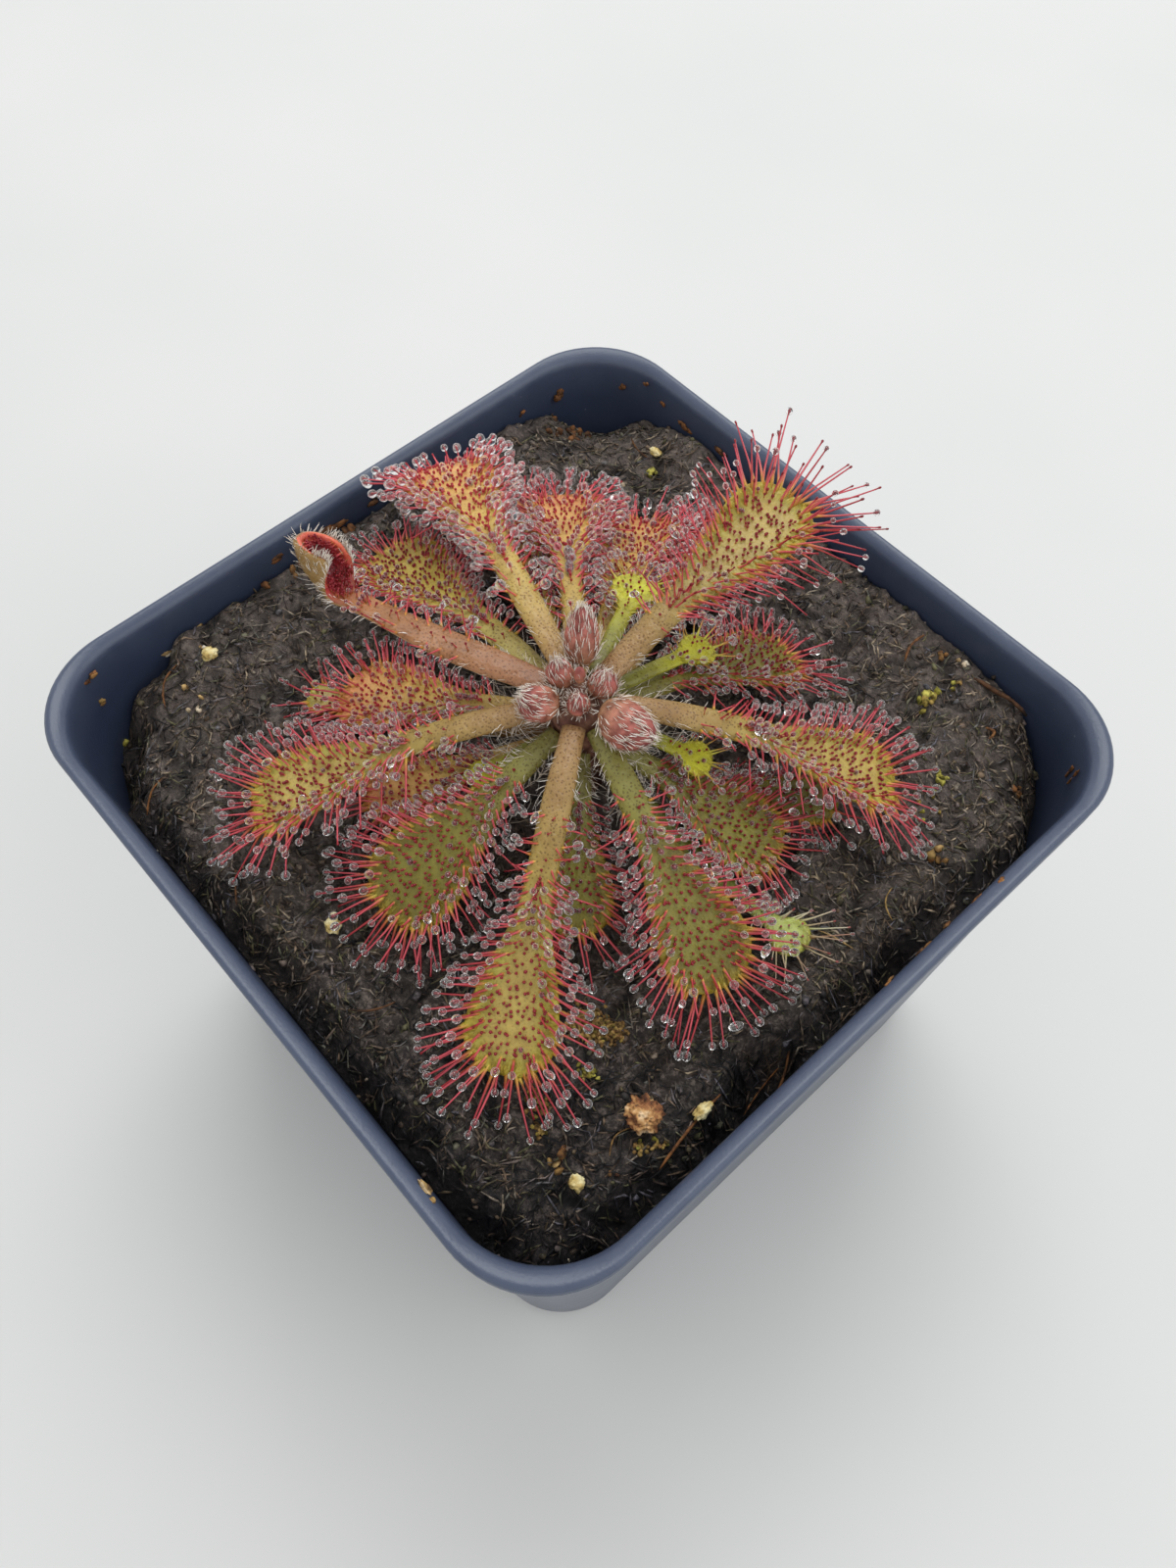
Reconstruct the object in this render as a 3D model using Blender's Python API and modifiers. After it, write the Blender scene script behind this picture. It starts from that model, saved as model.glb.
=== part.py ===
# A small sundew in a square plastic pot, in metres, +Z up.
# The origin is the middle of the pot's base. The pot's sides lie along X and Y, and the
# tables below are in millimetres and degrees.
import math

import bmesh
import bpy
from mathutils import Matrix, Vector, noise
from mathutils.bvhtree import BVHTree

MM = 0.001
GAP = 0.3  # room between two pieces that touch

# Pot
POT_HEIGHT = 65.0
RIM_HALF = 37.5  # half the rim's outer side
BASE_HALF = 33.3
CORNER_RADIUS = 9.7  # at the rim, and less lower down, as the pot narrows
CORNER_SEGMENTS = 6
LIP_HEIGHT = 3.2
LIP_OVERHANG = 0.55
LIP_DRAFT = 0.1  # how much narrower the lip is at its lower edge
WALL = 1.1
FLOOR = 1.6
EDGE_ROUND = 0.8
RIM_ROUND = 0.45
DRAIN_RADIUS = 3.2
DRAIN_OFFSET = 21.0
DRAIN_SIDES = 12
CUT_THROUGH = 1.0  # how far a cutter stands out of what it cuts

# Compost, measured down from the rim
SOIL_DROP = 6.4
SOIL_CELLS = 14
SOIL_LUMP = 0.5
SOIL_LUMP_SIZE = 9.0
SOIL_CORNER_DROP = 3.0
SOIL_BACK_RISE = 2.6
SOIL_EDGE_DROP = 2.2
SOIL_EDGE_WIDTH = 3.0
SOIL_CORNER_START = 0.55  # shares of the half width where the corners and the back begin
SOIL_BACK_START = 0.6
# X, Y, radius and depth of the pockets washed out beside the walls
SOIL_POCKETS = (
    (34.9, 32.8, 7.0, 3.6),
    (-33.4, -33.4, 7.0, 3.0),
    (35.5, -9.0, 5.5, 2.2),
    (-33.5, 33.5, 6.0, 1.2),
)
POCKET_FLOOR = 0.35  # share of a pocket's radius that is at its full depth

# Stem, with its heights measured up from the rim
CROWN_X = 2.0
CROWN_Y = -1.0
CROWN_TOP = 7.6
STEM_RADIUS = 2.7
STEM_ROOT_RADIUS = 2.2
STEM_ROOT_DEPTH = 12.0  # how far the stem goes down into the compost
STEM_STEPS = 14

# Leaves
STALK_THICK = 1.25
BLADE_THICK = 0.8
EDGE_THICK = 0.62
BLADE_LENGTH = 3.9  # length over which the stalk widens to the tip, in half widths
ROUND_END = 0.9  # length of the round end, in half widths
LEAF_ROWS = 9
LEAF_CELLS = 3
CURL_ROWS = 3  # more rows where the tip curls up
ROW_CROWDING = 1.35  # over 1 crowds the rows towards the tip
FURL_RADIUS = 1.9  # the unfurling blade is still rolled in from both sides round this radius
FURL_CELLS = 8

# Stalked glands: a thin stalk with a drop at its end
ROOT_RADIUS = 0.17
NECK_RADIUS = 0.13
DROP_RADIUS = 0.58
DROP_LENGTH = 1.1
NEEDLE_SIDES = 3
NEEDLE_SPACING = 2.6
NEEDLE_CLEAR = 0.25
EDGE_ROOT = 0.62  # where a margin gland is rooted, from midrib 0 to edge 1
ROOT_SUNK = 0.6  # how much longer a gland is for the root inside the blade
FACE_ROOT = 0.4
FACE_LENGTH = 2.4
FACE_SHARES = ((0.5, 1), (0.5, -1), (0.66, 0), (0.78, 1), (0.78, -1), (0.9, 0))
NEEDLE_TILTS = (14, 34, 52, 68, -12, 82, -30)  # tried in turn until one is clear
NEEDLE_SHORTER = (1.0, 0.8, 0.62)
SMALL_HALF = 3.0  # a blade with less half width than this has fewer, closer glands
SMALL_SPACING = 0.85
TEST_STEPS = 8  # places along a gland that are tested
HEAD_START = 0.7  # share of a gland's length where its drop begins

# name: direction, base height over the rim, length, slope at the stem, slope where the tip
# starts, slope at the tip, share of the length before the tip, blade width, stalk width,
# roll, cupping, margin gland length, colour
LEAVES = {
    "leaf_front": (-53.8, 6.8, 29.6, -6, -30, -36, 0.85, 8.0, 2.6, 0, 0.10, 4.2, "tan"),
    "leaf_front_right": (-15.4, 6.2, 24.5, -10, -32, -34, 0.85, 8.2, 2.6, 4, 0.08, 4.2, "green"),
    "leaf_right": (42.0, 6.6, 27.5, -6, -29, -34, 0.85, 8.0, 2.6, -4, 0.12, 4.2, "tan"),
    "leaf_raised": (92.6, 7.4, 24.1, 16, 7, -4, 0.80, 8.2, 2.8, 6, 0.16, 5.4, "tan"),
    "leaf_back_left": (163.9, 7.0, 31.9, 9, -14, -66, 0.82, 9.4, 2.6, 4, -0.05, 3.6, "tan"),
    "leaf_upper_left": (179.9, 5.2, 27.2, -2, -18, -26, 0.85, 8.8, 2.4, 4, 0.06, 3.2, "green"),
    "leaf_left": (-121.4, 6.4, 28.7, -5, -27, -34, 0.85, 8.2, 2.6, 4, 0.10, 4.4, "tan"),
    "leaf_front_left": (-87.4, 4.6, 21.9, -8, -33, -38, 0.85, 9.2, 2.4, -6, 0.06, 4.0, "green"),
    "leaf_unfurling": (-155.4, 7.2, 27.1, 2, 6, 78, 0.74, 8.2, 3.0, 27, 0.0, 2.4, "pink"),
    "leaf_right_back": (78.6, 3.6, 21.6, -4, -26, -34, 0.80, 8.0, 2.4, -6, 0.02, 3.8, "green"),
    "leaf_right_low": (18.5, 2.4, 18.4, -16, -22, -26, 0.80, 8.0, 2.2, 0, 0.05, 3.4, "green"),
    "leaf_right_under": (30.5, 0.4, 21.4, -22, -4, 20, 0.85, 4.4, 1.8, 30, 0.10, 2.6, "green"),
    "leaf_front_under": (-43.4, 2.6, 16.0, -20, -26, -26, 0.80, 6.6, 2.2, 0, 0.05, 3.6, "green"),
    "leaf_back_upper": (141.9, 4.6, 27.4, 2, -18, -30, 0.80, 7.6, 2.2, 0, 0.04, 3.8, "green"),
    "leaf_back_middle": (125.9, 3.0, 28.2, 0, -20, -48, 0.80, 8.8, 2.2, -4, 0.04, 3.8, "red"),
    "leaf_back_under": (151.9, 1.6, 30.5, -6, -14, -18, 0.80, 8.4, 2.2, 0, 0.04, 3.8, "red"),
    "leaf_back_right": (108.8, 2.0, 28.3, -8, -15, -18, 0.80, 8.2, 2.2, 0, 0.04, 3.8, "red"),
    "leaf_left_low": (-149.2, 3.4, 22.1, -14, -21, -24, 0.80, 8.0, 2.2, 0, 0.05, 3.6, "red"),
    "leaf_left_under": (-119.3, 1.2, 18.1, -17, -18, -14, 0.80, 6.8, 2.0, 0, 0.05, 3.2, "red"),
    "small_leaf_back": (117.8, 6.0, 13.9, -4, -12, -16, 0.75, 5.0, 1.6, 0, 0.04, 2.4, "pale"),
    "small_leaf_right": (83.6, 5.6, 11.9, -8, -16, -16, 0.75, 3.8, 1.5, 0, 0.04, 2.2, "pale"),
    "small_leaf_front_right": (32.5, 4.8, 9.8, -20, -26, -20, 0.75, 3.6, 1.5, 0, 0.04, 1.8, "pale"),
    "small_leaf_front_left": (-105.4, 3.0, 8.4, -12, -20, -20, 0.75, 3.2, 1.4, 0, 0.04, 2.2, "pale"),
    "small_leaf_left": (-149.2, 0.6, 26.1, -32, 0, 10, 0.85, 3.8, 1.5, 0, 0.04, 2.6, "pale"),
    "small_leaf_far_right": (4.6, 0.8, 24.8, -30, 0, 8, 0.85, 4.0, 1.5, 0, 0.04, 2.8, "pale"),
}

# name: direction and distance from the crown's axis, half length, half width, tilt of its
# long axis from upright. Each one is let down until it rests.
BUDS = {
    "bud_back": (137.6, 4.6, 2.7, 1.5, 34),
    "bud_large": (4.6, 5.5, 2.8, 2.0, 76),
    "bud_front_left": (-108.4, 4.2, 1.9, 1.6, 50),
    "bud_left": (-166.4, 2.3, 1.4, 1.2, 24),
    "bud_right": (59.6, 2.0, 1.4, 1.25, 24),
    "bud_front": (-50.4, 1.7, 1.2, 1.0, 20),
    "bud_top": (149.6, 0.6, 0.95, 0.5, 8),
}
DROP_FROM = 20.0  # height over the rim from which a bud or a bit is let down
LET_DOWN_STEPS = 200
BUD_SEGMENTS = 8
BUD_RINGS = 6
BUD_BEND = 0.35

# name: X, Y, length, width, height, turn, colour
BITS = {
    "pumice_piece": (29.7, -19.0, 3.4, 2.6, 2.0, 35, "pumice"),
    "grit_front": (32.4, -14.8, 2.6, 1.3, 1.1, 70, "grit"),
    "grit_left": (-0.9, -27.9, 2.2, 1.7, 1.2, 20, "grit"),
    "grit_tan": (29.7, -26.4, 1.8, 1.4, 1.0, 50, "grit"),
    "grit_back": (-21.8, 31.2, 2.0, 1.2, 1.0, 10, "grit"),
    "grit_far_left": (-31.3, -20.1, 2.2, 1.5, 1.1, 60, "grit"),
}
BIT_ROUGHNESS = 0.22

# colour, roughness
FINISHES = {
    "pot": ((0.035, 0.042, 0.062), 0.38),
    "soil": ((0.030, 0.024, 0.018), 0.95),
    "stem": ((0.130, 0.060, 0.035), 0.70),
    "tan": ((0.420, 0.330, 0.080), 0.45),
    "green": ((0.240, 0.290, 0.050), 0.45),
    "red": ((0.430, 0.130, 0.060), 0.45),
    "pale": ((0.430, 0.500, 0.040), 0.45),
    "pink": ((0.450, 0.230, 0.130), 0.50),
    "bud": ((0.330, 0.140, 0.110), 0.80),
    "pumice": ((0.520, 0.280, 0.130), 0.90),
    "grit": ((0.620, 0.540, 0.300), 0.85),
}


def clear_scene():
    for obj in list(bpy.data.objects):
        bpy.data.objects.remove(obj, do_unlink=True)


def new_collection(name):
    made = bpy.data.collections.new(name)
    bpy.context.scene.collection.children.link(made)
    return made


def new_material(name, colour, roughness):
    material = bpy.data.materials.new(name)
    material.use_nodes = True
    shader = material.node_tree.nodes["Principled BSDF"]
    shader.inputs["Base Color"].default_value = (*colour, 1.0)
    shader.inputs["Roughness"].default_value = roughness
    shader.inputs["Metallic"].default_value = 0.0
    material.diffuse_color = (*colour, 1.0)
    return material


def new_object(name, mesh_in_mm, collection, finish=None):
    """Takes a bmesh in millimetres and leaves an object in metres."""
    bmesh.ops.scale(mesh_in_mm, vec=(MM, MM, MM), verts=mesh_in_mm.verts)
    mesh = bpy.data.meshes.new(name)
    mesh_in_mm.to_mesh(mesh)
    mesh_in_mm.free()
    obj = bpy.data.objects.new(name, mesh)
    collection.objects.link(obj)
    if finish:
        mesh.materials.append(finish)
    return obj


def hide_cutter(obj):
    obj.hide_render = True
    obj.display_type = "WIRE"


def apply_modifiers(obj):
    graph = bpy.context.evaluated_depsgraph_get()
    mesh = bpy.data.meshes.new_from_object(obj.evaluated_get(graph))
    obj.modifiers.clear()
    obj.data = mesh


def tree_of(obj):
    """A search tree of the object's faces, in millimetres."""
    graph = bpy.context.evaluated_depsgraph_get()
    work = bmesh.new()
    work.from_object(obj, graph)
    bmesh.ops.transform(work, matrix=obj.matrix_world, verts=work.verts)
    bmesh.ops.scale(work, vec=(1 / MM,) * 3, verts=work.verts)
    tree = BVHTree.FromBMesh(work)
    work.free()
    return tree


def draw_out(work, face):
    """Extrudes one end face, without leaving the old face inside, and returns the new one."""
    closed = all(edge.is_manifold for edge in face.edges)
    made = bmesh.ops.extrude_face_region(work, geom=[face])
    if closed:
        bmesh.ops.delete(work, geom=[face], context="FACES_ONLY")
    return next(item for item in made["geom"] if isinstance(item, bmesh.types.BMFace))


def smoothstep(low, high, value):
    share = min(max((value - low) / (high - low), 0.0), 1.0)
    return share * share * (3 - 2 * share)


# Pot


def body_half(height):
    """Half the side of the pot's outer body at a height over the base."""
    top = RIM_HALF - LIP_OVERHANG
    return BASE_HALF + (top - BASE_HALF) * height / POT_HEIGHT


def rounded_block(rows):
    """A block with round upright corners, from rows of height and half side."""
    block = bmesh.new()
    height, half = rows[0]
    bmesh.ops.create_grid(block, x_segments=1, y_segments=1, size=half)
    bmesh.ops.translate(block, vec=(0, 0, height), verts=block.verts)
    bmesh.ops.bevel(
        block,
        geom=block.verts[:],
        offset=CORNER_RADIUS * half / RIM_HALF,
        offset_type="OFFSET",
        affect="VERTICES",
        segments=CORNER_SEGMENTS,
        profile=0.5,
        material=-1,
    )
    face = next(iter(block.faces))
    for next_height, next_half in rows[1:]:
        face = draw_out(block, face)
        bmesh.ops.translate(block, vec=(0, 0, next_height - height), verts=face.verts)
        bmesh.ops.scale(block, vec=(next_half / half, next_half / half, 1), verts=face.verts)
        height, half = next_height, next_half
    bmesh.ops.recalc_face_normals(block, faces=block.faces)
    return block


def build_pot(parts, cutters, finish):
    lip_bottom = POT_HEIGHT - LIP_HEIGHT
    outside = [
        (0.0, BASE_HALF - EDGE_ROUND),
        (EDGE_ROUND, body_half(EDGE_ROUND)),
        (lip_bottom, body_half(lip_bottom)),
        (lip_bottom + LIP_OVERHANG, RIM_HALF - LIP_DRAFT),
        (POT_HEIGHT - RIM_ROUND, RIM_HALF),
        (POT_HEIGHT, RIM_HALF - RIM_ROUND),
    ]
    pot = new_object("pot", rounded_block(outside), parts, finish)
    inside = [
        (FLOOR, body_half(FLOOR) - WALL),
        (POT_HEIGHT - RIM_ROUND, body_half(POT_HEIGHT) - WALL),
        (POT_HEIGHT, body_half(POT_HEIGHT) - WALL + RIM_ROUND),
        (POT_HEIGHT + CUT_THROUGH, body_half(POT_HEIGHT) - WALL + RIM_ROUND),
    ]
    hollow = new_object("pot_hollow", rounded_block(inside), cutters)
    hide_cutter(hollow)
    drains = bpy.data.collections.new("drain_holes")
    cutters.children.link(drains)
    spots = [(x * DRAIN_OFFSET, y * DRAIN_OFFSET) for x in (-1, 1) for y in (-1, 1)]
    for number, (x, y) in enumerate([(0, 0)] + spots):
        hole = bmesh.new()
        bmesh.ops.create_cone(
            hole,
            cap_ends=True,
            segments=DRAIN_SIDES,
            radius1=DRAIN_RADIUS,
            radius2=DRAIN_RADIUS,
            depth=FLOOR + 2 * CUT_THROUGH,
        )
        bmesh.ops.translate(hole, vec=(x, y, FLOOR / 2), verts=hole.verts)
        hide_cutter(new_object(f"drain_hole_{number + 1}", hole, drains))
    cut = pot.modifiers.new("hollow", "BOOLEAN")
    cut.object = hollow
    cut = pot.modifiers.new("drain_holes", "BOOLEAN")
    cut.operand_type = "COLLECTION"
    cut.collection = drains
    return pot


# Compost


def round_square_reach(x, y):
    """How much a point on a unit square's edge moves in to lie on the round-cornered one."""
    radius = CORNER_RADIUS / RIM_HALF
    inner = 1 - radius
    x, y = sorted((abs(x), abs(y)), reverse=True)
    if x == 0 or y / x <= inner:
        return 1.0
    # The ray from the middle meets the corner's arc, centred on (inner, inner).
    slope = y / x
    a = 1 + slope * slope
    b = -2 * inner * (1 + slope)
    c = 2 * inner * inner - radius * radius
    return (-b + math.sqrt(b * b - 4 * a * c)) / (2 * a)


def soil_height(x, y):
    """Height of the compost over the base, at a place in millimetres."""
    half = body_half(POT_HEIGHT) - WALL
    corner = smoothstep(SOIL_CORNER_START, 1, abs(x) / half)
    corner *= smoothstep(SOIL_CORNER_START, 1, abs(y) / half)
    back = max(
        smoothstep(SOIL_BACK_START, 1, -x / half),
        smoothstep(SOIL_BACK_START, 1, y / half),
    )
    edge = max(
        smoothstep(half - SOIL_EDGE_WIDTH, half, x),
        smoothstep(half - SOIL_EDGE_WIDTH, half, -y),
    )
    lumps = noise.noise(Vector((x, y, 3.0)) / SOIL_LUMP_SIZE)
    lumps += 0.5 * noise.noise(Vector((x, y, 9.0)) / (SOIL_LUMP_SIZE / 2))
    pockets = sum(
        depth * (1 - smoothstep(radius * POCKET_FLOOR, radius, math.hypot(x - px, y - py)))
        for px, py, radius, depth in SOIL_POCKETS
    )
    return (
        POT_HEIGHT
        - SOIL_DROP
        + SOIL_BACK_RISE * back
        - (SOIL_CORNER_DROP + SOIL_BACK_RISE) * corner
        - SOIL_EDGE_DROP * edge
        - pockets
        + SOIL_LUMP * lumps
    )


def build_soil(parts, cutters, finish):
    soil = bmesh.new()
    bmesh.ops.create_grid(soil, x_segments=SOIL_CELLS, y_segments=SOIL_CELLS, size=1.0)
    wall_gap = WALL + GAP
    for vert in soil.verts:
        reach = round_square_reach(vert.co.x, vert.co.y)
        level = POT_HEIGHT - SOIL_DROP
        place = vert.co * reach * (body_half(level) - wall_gap)
        height = soil_height(place.x, place.y)
        place *= (body_half(height) - wall_gap) / (body_half(level) - wall_gap)
        vert.co = (place.x, place.y, height)
    rim = [edge for edge in soil.edges if edge.is_boundary]
    floor = FLOOR + GAP
    made = bmesh.ops.extrude_edge_only(soil, edges=rim)
    for vert in (item for item in made["geom"] if isinstance(item, bmesh.types.BMVert)):
        shrink = (body_half(floor) - wall_gap) / (body_half(vert.co.z) - wall_gap)
        vert.co = (vert.co.x * shrink, vert.co.y * shrink, floor)
    bmesh.ops.contextual_create(soil, geom=[edge for edge in soil.edges if edge.is_boundary])
    bmesh.ops.triangulate(soil, faces=[face for face in soil.faces if len(face.verts) == 4])
    bmesh.ops.recalc_face_normals(soil, faces=soil.faces)
    obj = new_object("soil", soil, parts, finish)
    hole = bmesh.new()
    depth = STEM_ROOT_DEPTH + GAP
    bmesh.ops.create_cone(
        hole,
        cap_ends=True,
        segments=STEM_STEPS,
        radius1=STEM_ROOT_RADIUS + GAP,
        radius2=STEM_ROOT_RADIUS + GAP,
        depth=depth * 2,
    )
    bmesh.ops.translate(hole, vec=(CROWN_X, CROWN_Y, POT_HEIGHT - SOIL_DROP), verts=hole.verts)
    cutter = new_object("stem_hole", hole, cutters)
    hide_cutter(cutter)
    cut = obj.modifiers.new("stem_hole", "BOOLEAN")
    cut.object = cutter
    return obj


# Stem


def build_stem(parts, finish):
    """A turned profile: the domed crown, the stalk and the root end in the compost."""
    ground = -SOIL_DROP
    profile = [
        (0.0, CROWN_TOP),
        (STEM_RADIUS * 0.55, CROWN_TOP - 0.3),
        (STEM_RADIUS * 0.9, CROWN_TOP - 1.0),
        (STEM_RADIUS, CROWN_TOP - 2.2),
        (STEM_RADIUS, ground + 4.4),
        (STEM_ROOT_RADIUS, ground + 2.2),
        (STEM_ROOT_RADIUS, ground - STEM_ROOT_DEPTH + 1.0),
        (STEM_ROOT_RADIUS * 0.7, ground - STEM_ROOT_DEPTH),
        (0.0, ground - STEM_ROOT_DEPTH),
    ]
    stem = bmesh.new()
    points = [stem.verts.new((x, 0, z)) for x, z in profile]
    for first, second in zip(points, points[1:]):
        stem.edges.new((first, second))
    obj = new_object("stem", stem, parts, finish)
    obj.location = (CROWN_X * MM, CROWN_Y * MM, POT_HEIGHT * MM)
    turn = obj.modifiers.new("turned", "SCREW")
    turn.steps = turn.render_steps = STEM_STEPS
    turn.use_merge_vertices = True
    turn.merge_threshold = 0.00001
    return obj


# Leaves


class Leaf:
    """A leaf's midrib is two arcs, the second one its tip, and its blade a spatula."""

    def __init__(self, name, row):
        self.name = name
        (direction, self.base, self.length, start, bend, tip, self.split) = row[:7]
        (width, stalk, roll, self.cup, self.needle, self.colour) = row[7:]
        self.direction = math.radians(direction)
        self.slopes = [math.radians(slope) for slope in (start, bend, tip)]
        self.half = width / 2
        self.stalk = stalk / 2
        self.roll = math.radians(roll)
        self.blade_start = max(0.25, 1 - BLADE_LENGTH * self.half / self.length)
        self.widest = 1 - ROUND_END * self.half / self.length
        self.furled = self.colour == "pink"
        if self.furled:
            self.blade_start = self.split - 0.04

    def midrib(self, u):
        """Distance from the stem's axis, height over the rim and slope at share u."""
        reach, height = STEM_RADIUS + GAP, self.base
        spans = ((0.0, self.split), (self.split, 1.0))
        slope = self.slopes[0]
        for (low, high), first, last in zip(spans, self.slopes, self.slopes[1:]):
            if u <= low:
                break
            run = (min(u, high) - low) / (high - low)
            slope = first + (last - first) * run
            arc = (min(u, high) - low) * self.length
            turn = slope - first
            if abs(turn) < 1e-6:
                reach += arc * math.cos(first)
                height += arc * math.sin(first)
            else:
                reach += arc * (math.sin(slope) - math.sin(first)) / turn
                height += arc * (math.cos(first) - math.cos(slope)) / turn
        return reach, height, slope

    def half_width(self, u):
        if u > self.widest:
            along = (u - self.widest) / (1 - self.widest)
            return self.half * math.sqrt(1 - 0.94 * along * along)
        stalk = self.stalk * (0.8 + 0.2 * smoothstep(0, 0.25, u))
        return stalk + (self.half - stalk) * smoothstep(self.blade_start, self.widest, u)

    def thickness(self, u, v):
        middle = STALK_THICK + (BLADE_THICK - STALK_THICK) * smoothstep(0.3, 0.6, u)
        middle *= min(1.0, self.stalk / 1.0)
        return max(EDGE_THICK, middle - (middle - EDGE_THICK) * v * v)

    def frame(self, u):
        """Midrib point, along, across and up vectors at share u."""
        reach, height, slope = self.midrib(u)
        outward = Vector((math.cos(self.direction), math.sin(self.direction), 0))
        across = Vector((-outward.y, outward.x, 0))
        along = outward * math.cos(slope) + Vector((0, 0, math.sin(slope)))
        base = outward * (STEM_RADIUS + GAP) + Vector((0, 0, self.base))
        point = outward * reach + Vector((0, 0, height))
        turn = Matrix.Rotation(self.roll * smoothstep(0.3, 0.7, u), 3, outward)
        along, across = turn @ along, turn @ across
        point = base + turn @ (point - base) + Vector((CROWN_X, CROWN_Y, POT_HEIGHT))
        return point, along, across, along.cross(across)

    def surface(self, u, v, level=0.0):
        """A point of the blade: v from edge -1 to edge 1, level -1 below to 1 above."""
        point, along, across, up = self.frame(u)
        half = self.half_width(u)
        if self.furled:
            bend = smoothstep(self.blade_start, self.split + 0.1, u) / FURL_RADIUS + 1e-6
            turn = v * half * bend
            point = point + across * (math.sin(turn) / bend)
            point += up * ((1 - math.cos(turn)) / bend)
            up = up * math.cos(turn) - across * math.sin(turn)
            return point + up * (level * self.thickness(u, v) / 2)
        curl = self.cup * smoothstep(self.blade_start, self.widest, u)
        point = point + across * (v * half * (1 - 0.3 * abs(curl) * v * v))
        point += up * (curl * half * v * v * 1.2)
        return point + up * (level * self.thickness(u, v) / 2)


def build_blade(leaf, collection, finish):
    blade = bmesh.new()
    rows = LEAF_ROWS if leaf.half > 2.6 else LEAF_ROWS - 2
    cells = LEAF_CELLS
    if leaf.furled:
        rows, cells = rows + CURL_ROWS, FURL_CELLS
    bmesh.ops.create_grid(blade, x_segments=rows, y_segments=cells, size=1.0)
    bmesh.ops.triangulate(blade, faces=blade.faces, quad_method="FIXED")
    made = bmesh.ops.extrude_face_region(blade, geom=blade.faces[:])
    upper = [item for item in made["geom"] if isinstance(item, bmesh.types.BMVert)]
    bmesh.ops.translate(blade, vec=(0, 0, 1), verts=upper)
    for vert in blade.verts:
        u = 1 - (1 - (vert.co.x + 1) / 2) ** ROW_CROWDING
        vert.co = leaf.surface(u, vert.co.y, 1 if vert.co.z > 0.5 else -1)
    bmesh.ops.recalc_face_normals(blade, faces=blade.faces)
    if blade.calc_volume(signed=True) < 0:
        bmesh.ops.reverse_faces(blade, faces=blade.faces)
    return new_object(leaf.name, blade, collection, finish)


class Needles:
    """Places stalked glands on the leaves and keeps those of different leaves apart."""

    def __init__(self, trees):
        self.trees = trees
        self.placed = []

    def free(self, owner, root, tip):
        """Whether a gland from root to tip keeps clear of every other solid and gland."""
        if max(abs(tip.x), abs(tip.y)) > RIM_HALF - NEEDLE_CLEAR:
            return False
        places = []
        for step in range(1, TEST_STEPS + 1):
            share = step / TEST_STEPS
            width = DROP_RADIUS if share > HEAD_START else ROOT_RADIUS
            places.append((share, root.lerp(tip, share), width))
        for name, tree in self.trees.items():
            for share, place, width in places:
                if name == owner and share < HEAD_START:
                    continue
                if tree.find_nearest(place, width + NEEDLE_CLEAR)[0] is not None:
                    return False
        return all(self.apart(owner, places, *other) for other in self.placed)

    def apart(self, owner, places, other, start, end):
        """Whether the places along a gland keep clear of one that is already there."""
        room = NEEDLE_CLEAR if other != owner else NEEDLE_CLEAR / 2
        line = end - start
        for _, place, width in places:
            along = (place - start).dot(line) / line.length_squared
            along = min(max(along, 0.0), 1.0)
            if other == owner and along < 1 - HEAD_START:
                continue
            width += DROP_RADIUS if along > HEAD_START - 0.1 else ROOT_RADIUS
            if (place - start.lerp(end, along)).length < width + room:
                return False
        return True

    def place(self, leaf, root, outward, up, length):
        """Takes the first tilt and length that are free, or leaves the gland out."""
        for shorter in NEEDLE_SHORTER:
            for tilt in NEEDLE_TILTS:
                angle = math.radians(tilt)
                line = outward * math.cos(angle) + up * math.sin(angle)
                tip = root + line * length * shorter
                if self.free(leaf.name, root, tip):
                    self.placed.append((leaf.name, root, tip))
                    return root, tip
        return None


def needle_mesh(root, tip):
    """A three-sided stalk that swells to a drop and closes in a point."""
    line = tip - root
    shaft = line.length - DROP_LENGTH
    needle = bmesh.new()
    bmesh.ops.create_cone(
        needle,
        cap_ends=True,
        segments=NEEDLE_SIDES,
        radius1=ROOT_RADIUS,
        radius2=NECK_RADIUS,
        depth=shaft,
    )
    bmesh.ops.translate(needle, vec=(0, 0, shaft / 2), verts=needle.verts)
    end = max(needle.faces, key=lambda face: face.calc_center_median().z)
    for radius, rise in ((DROP_RADIUS, DROP_LENGTH * 0.45), (0.0, DROP_LENGTH * 0.55)):
        end = draw_out(needle, end)
        grow = radius / max((vert.co.xy.length for vert in end.verts), default=1.0)
        bmesh.ops.scale(needle, vec=(grow, grow, 1), verts=end.verts)
        bmesh.ops.translate(needle, vec=(0, 0, rise), verts=end.verts)
    bmesh.ops.remove_doubles(needle, verts=needle.verts, dist=0.001)
    place = Matrix.Translation(root) @ line.to_track_quat("Z", "Y").to_matrix().to_4x4()
    bmesh.ops.transform(needle, matrix=place, verts=needle.verts)
    bmesh.ops.recalc_face_normals(needle, faces=needle.faces)
    return needle


def margin_places(leaf, spacing):
    """Shares u and sides v round the blade's edge, spaced alike."""
    steps = 160
    first = leaf.blade_start * 0.85
    path = [(first + (1 - first) * step / steps, -1) for step in range(steps + 1)]
    path += [(1.0, -1 + 2 * step / 20) for step in range(1, 20)]
    path += [(u, 1) for u, _ in reversed(path[: steps + 1])]
    points = [leaf.surface(u, v) for u, v in path]
    total = sum((b - a).length for a, b in zip(points, points[1:]))
    count = max(int(total / spacing), 6)
    walked, found, target = 0.0, [], total / count / 2
    for (u, v), here, after in zip(path, points, points[1:]):
        if walked >= target:
            found.append((u, v))
            target += total / count
        walked += (after - here).length
    return found


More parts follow.
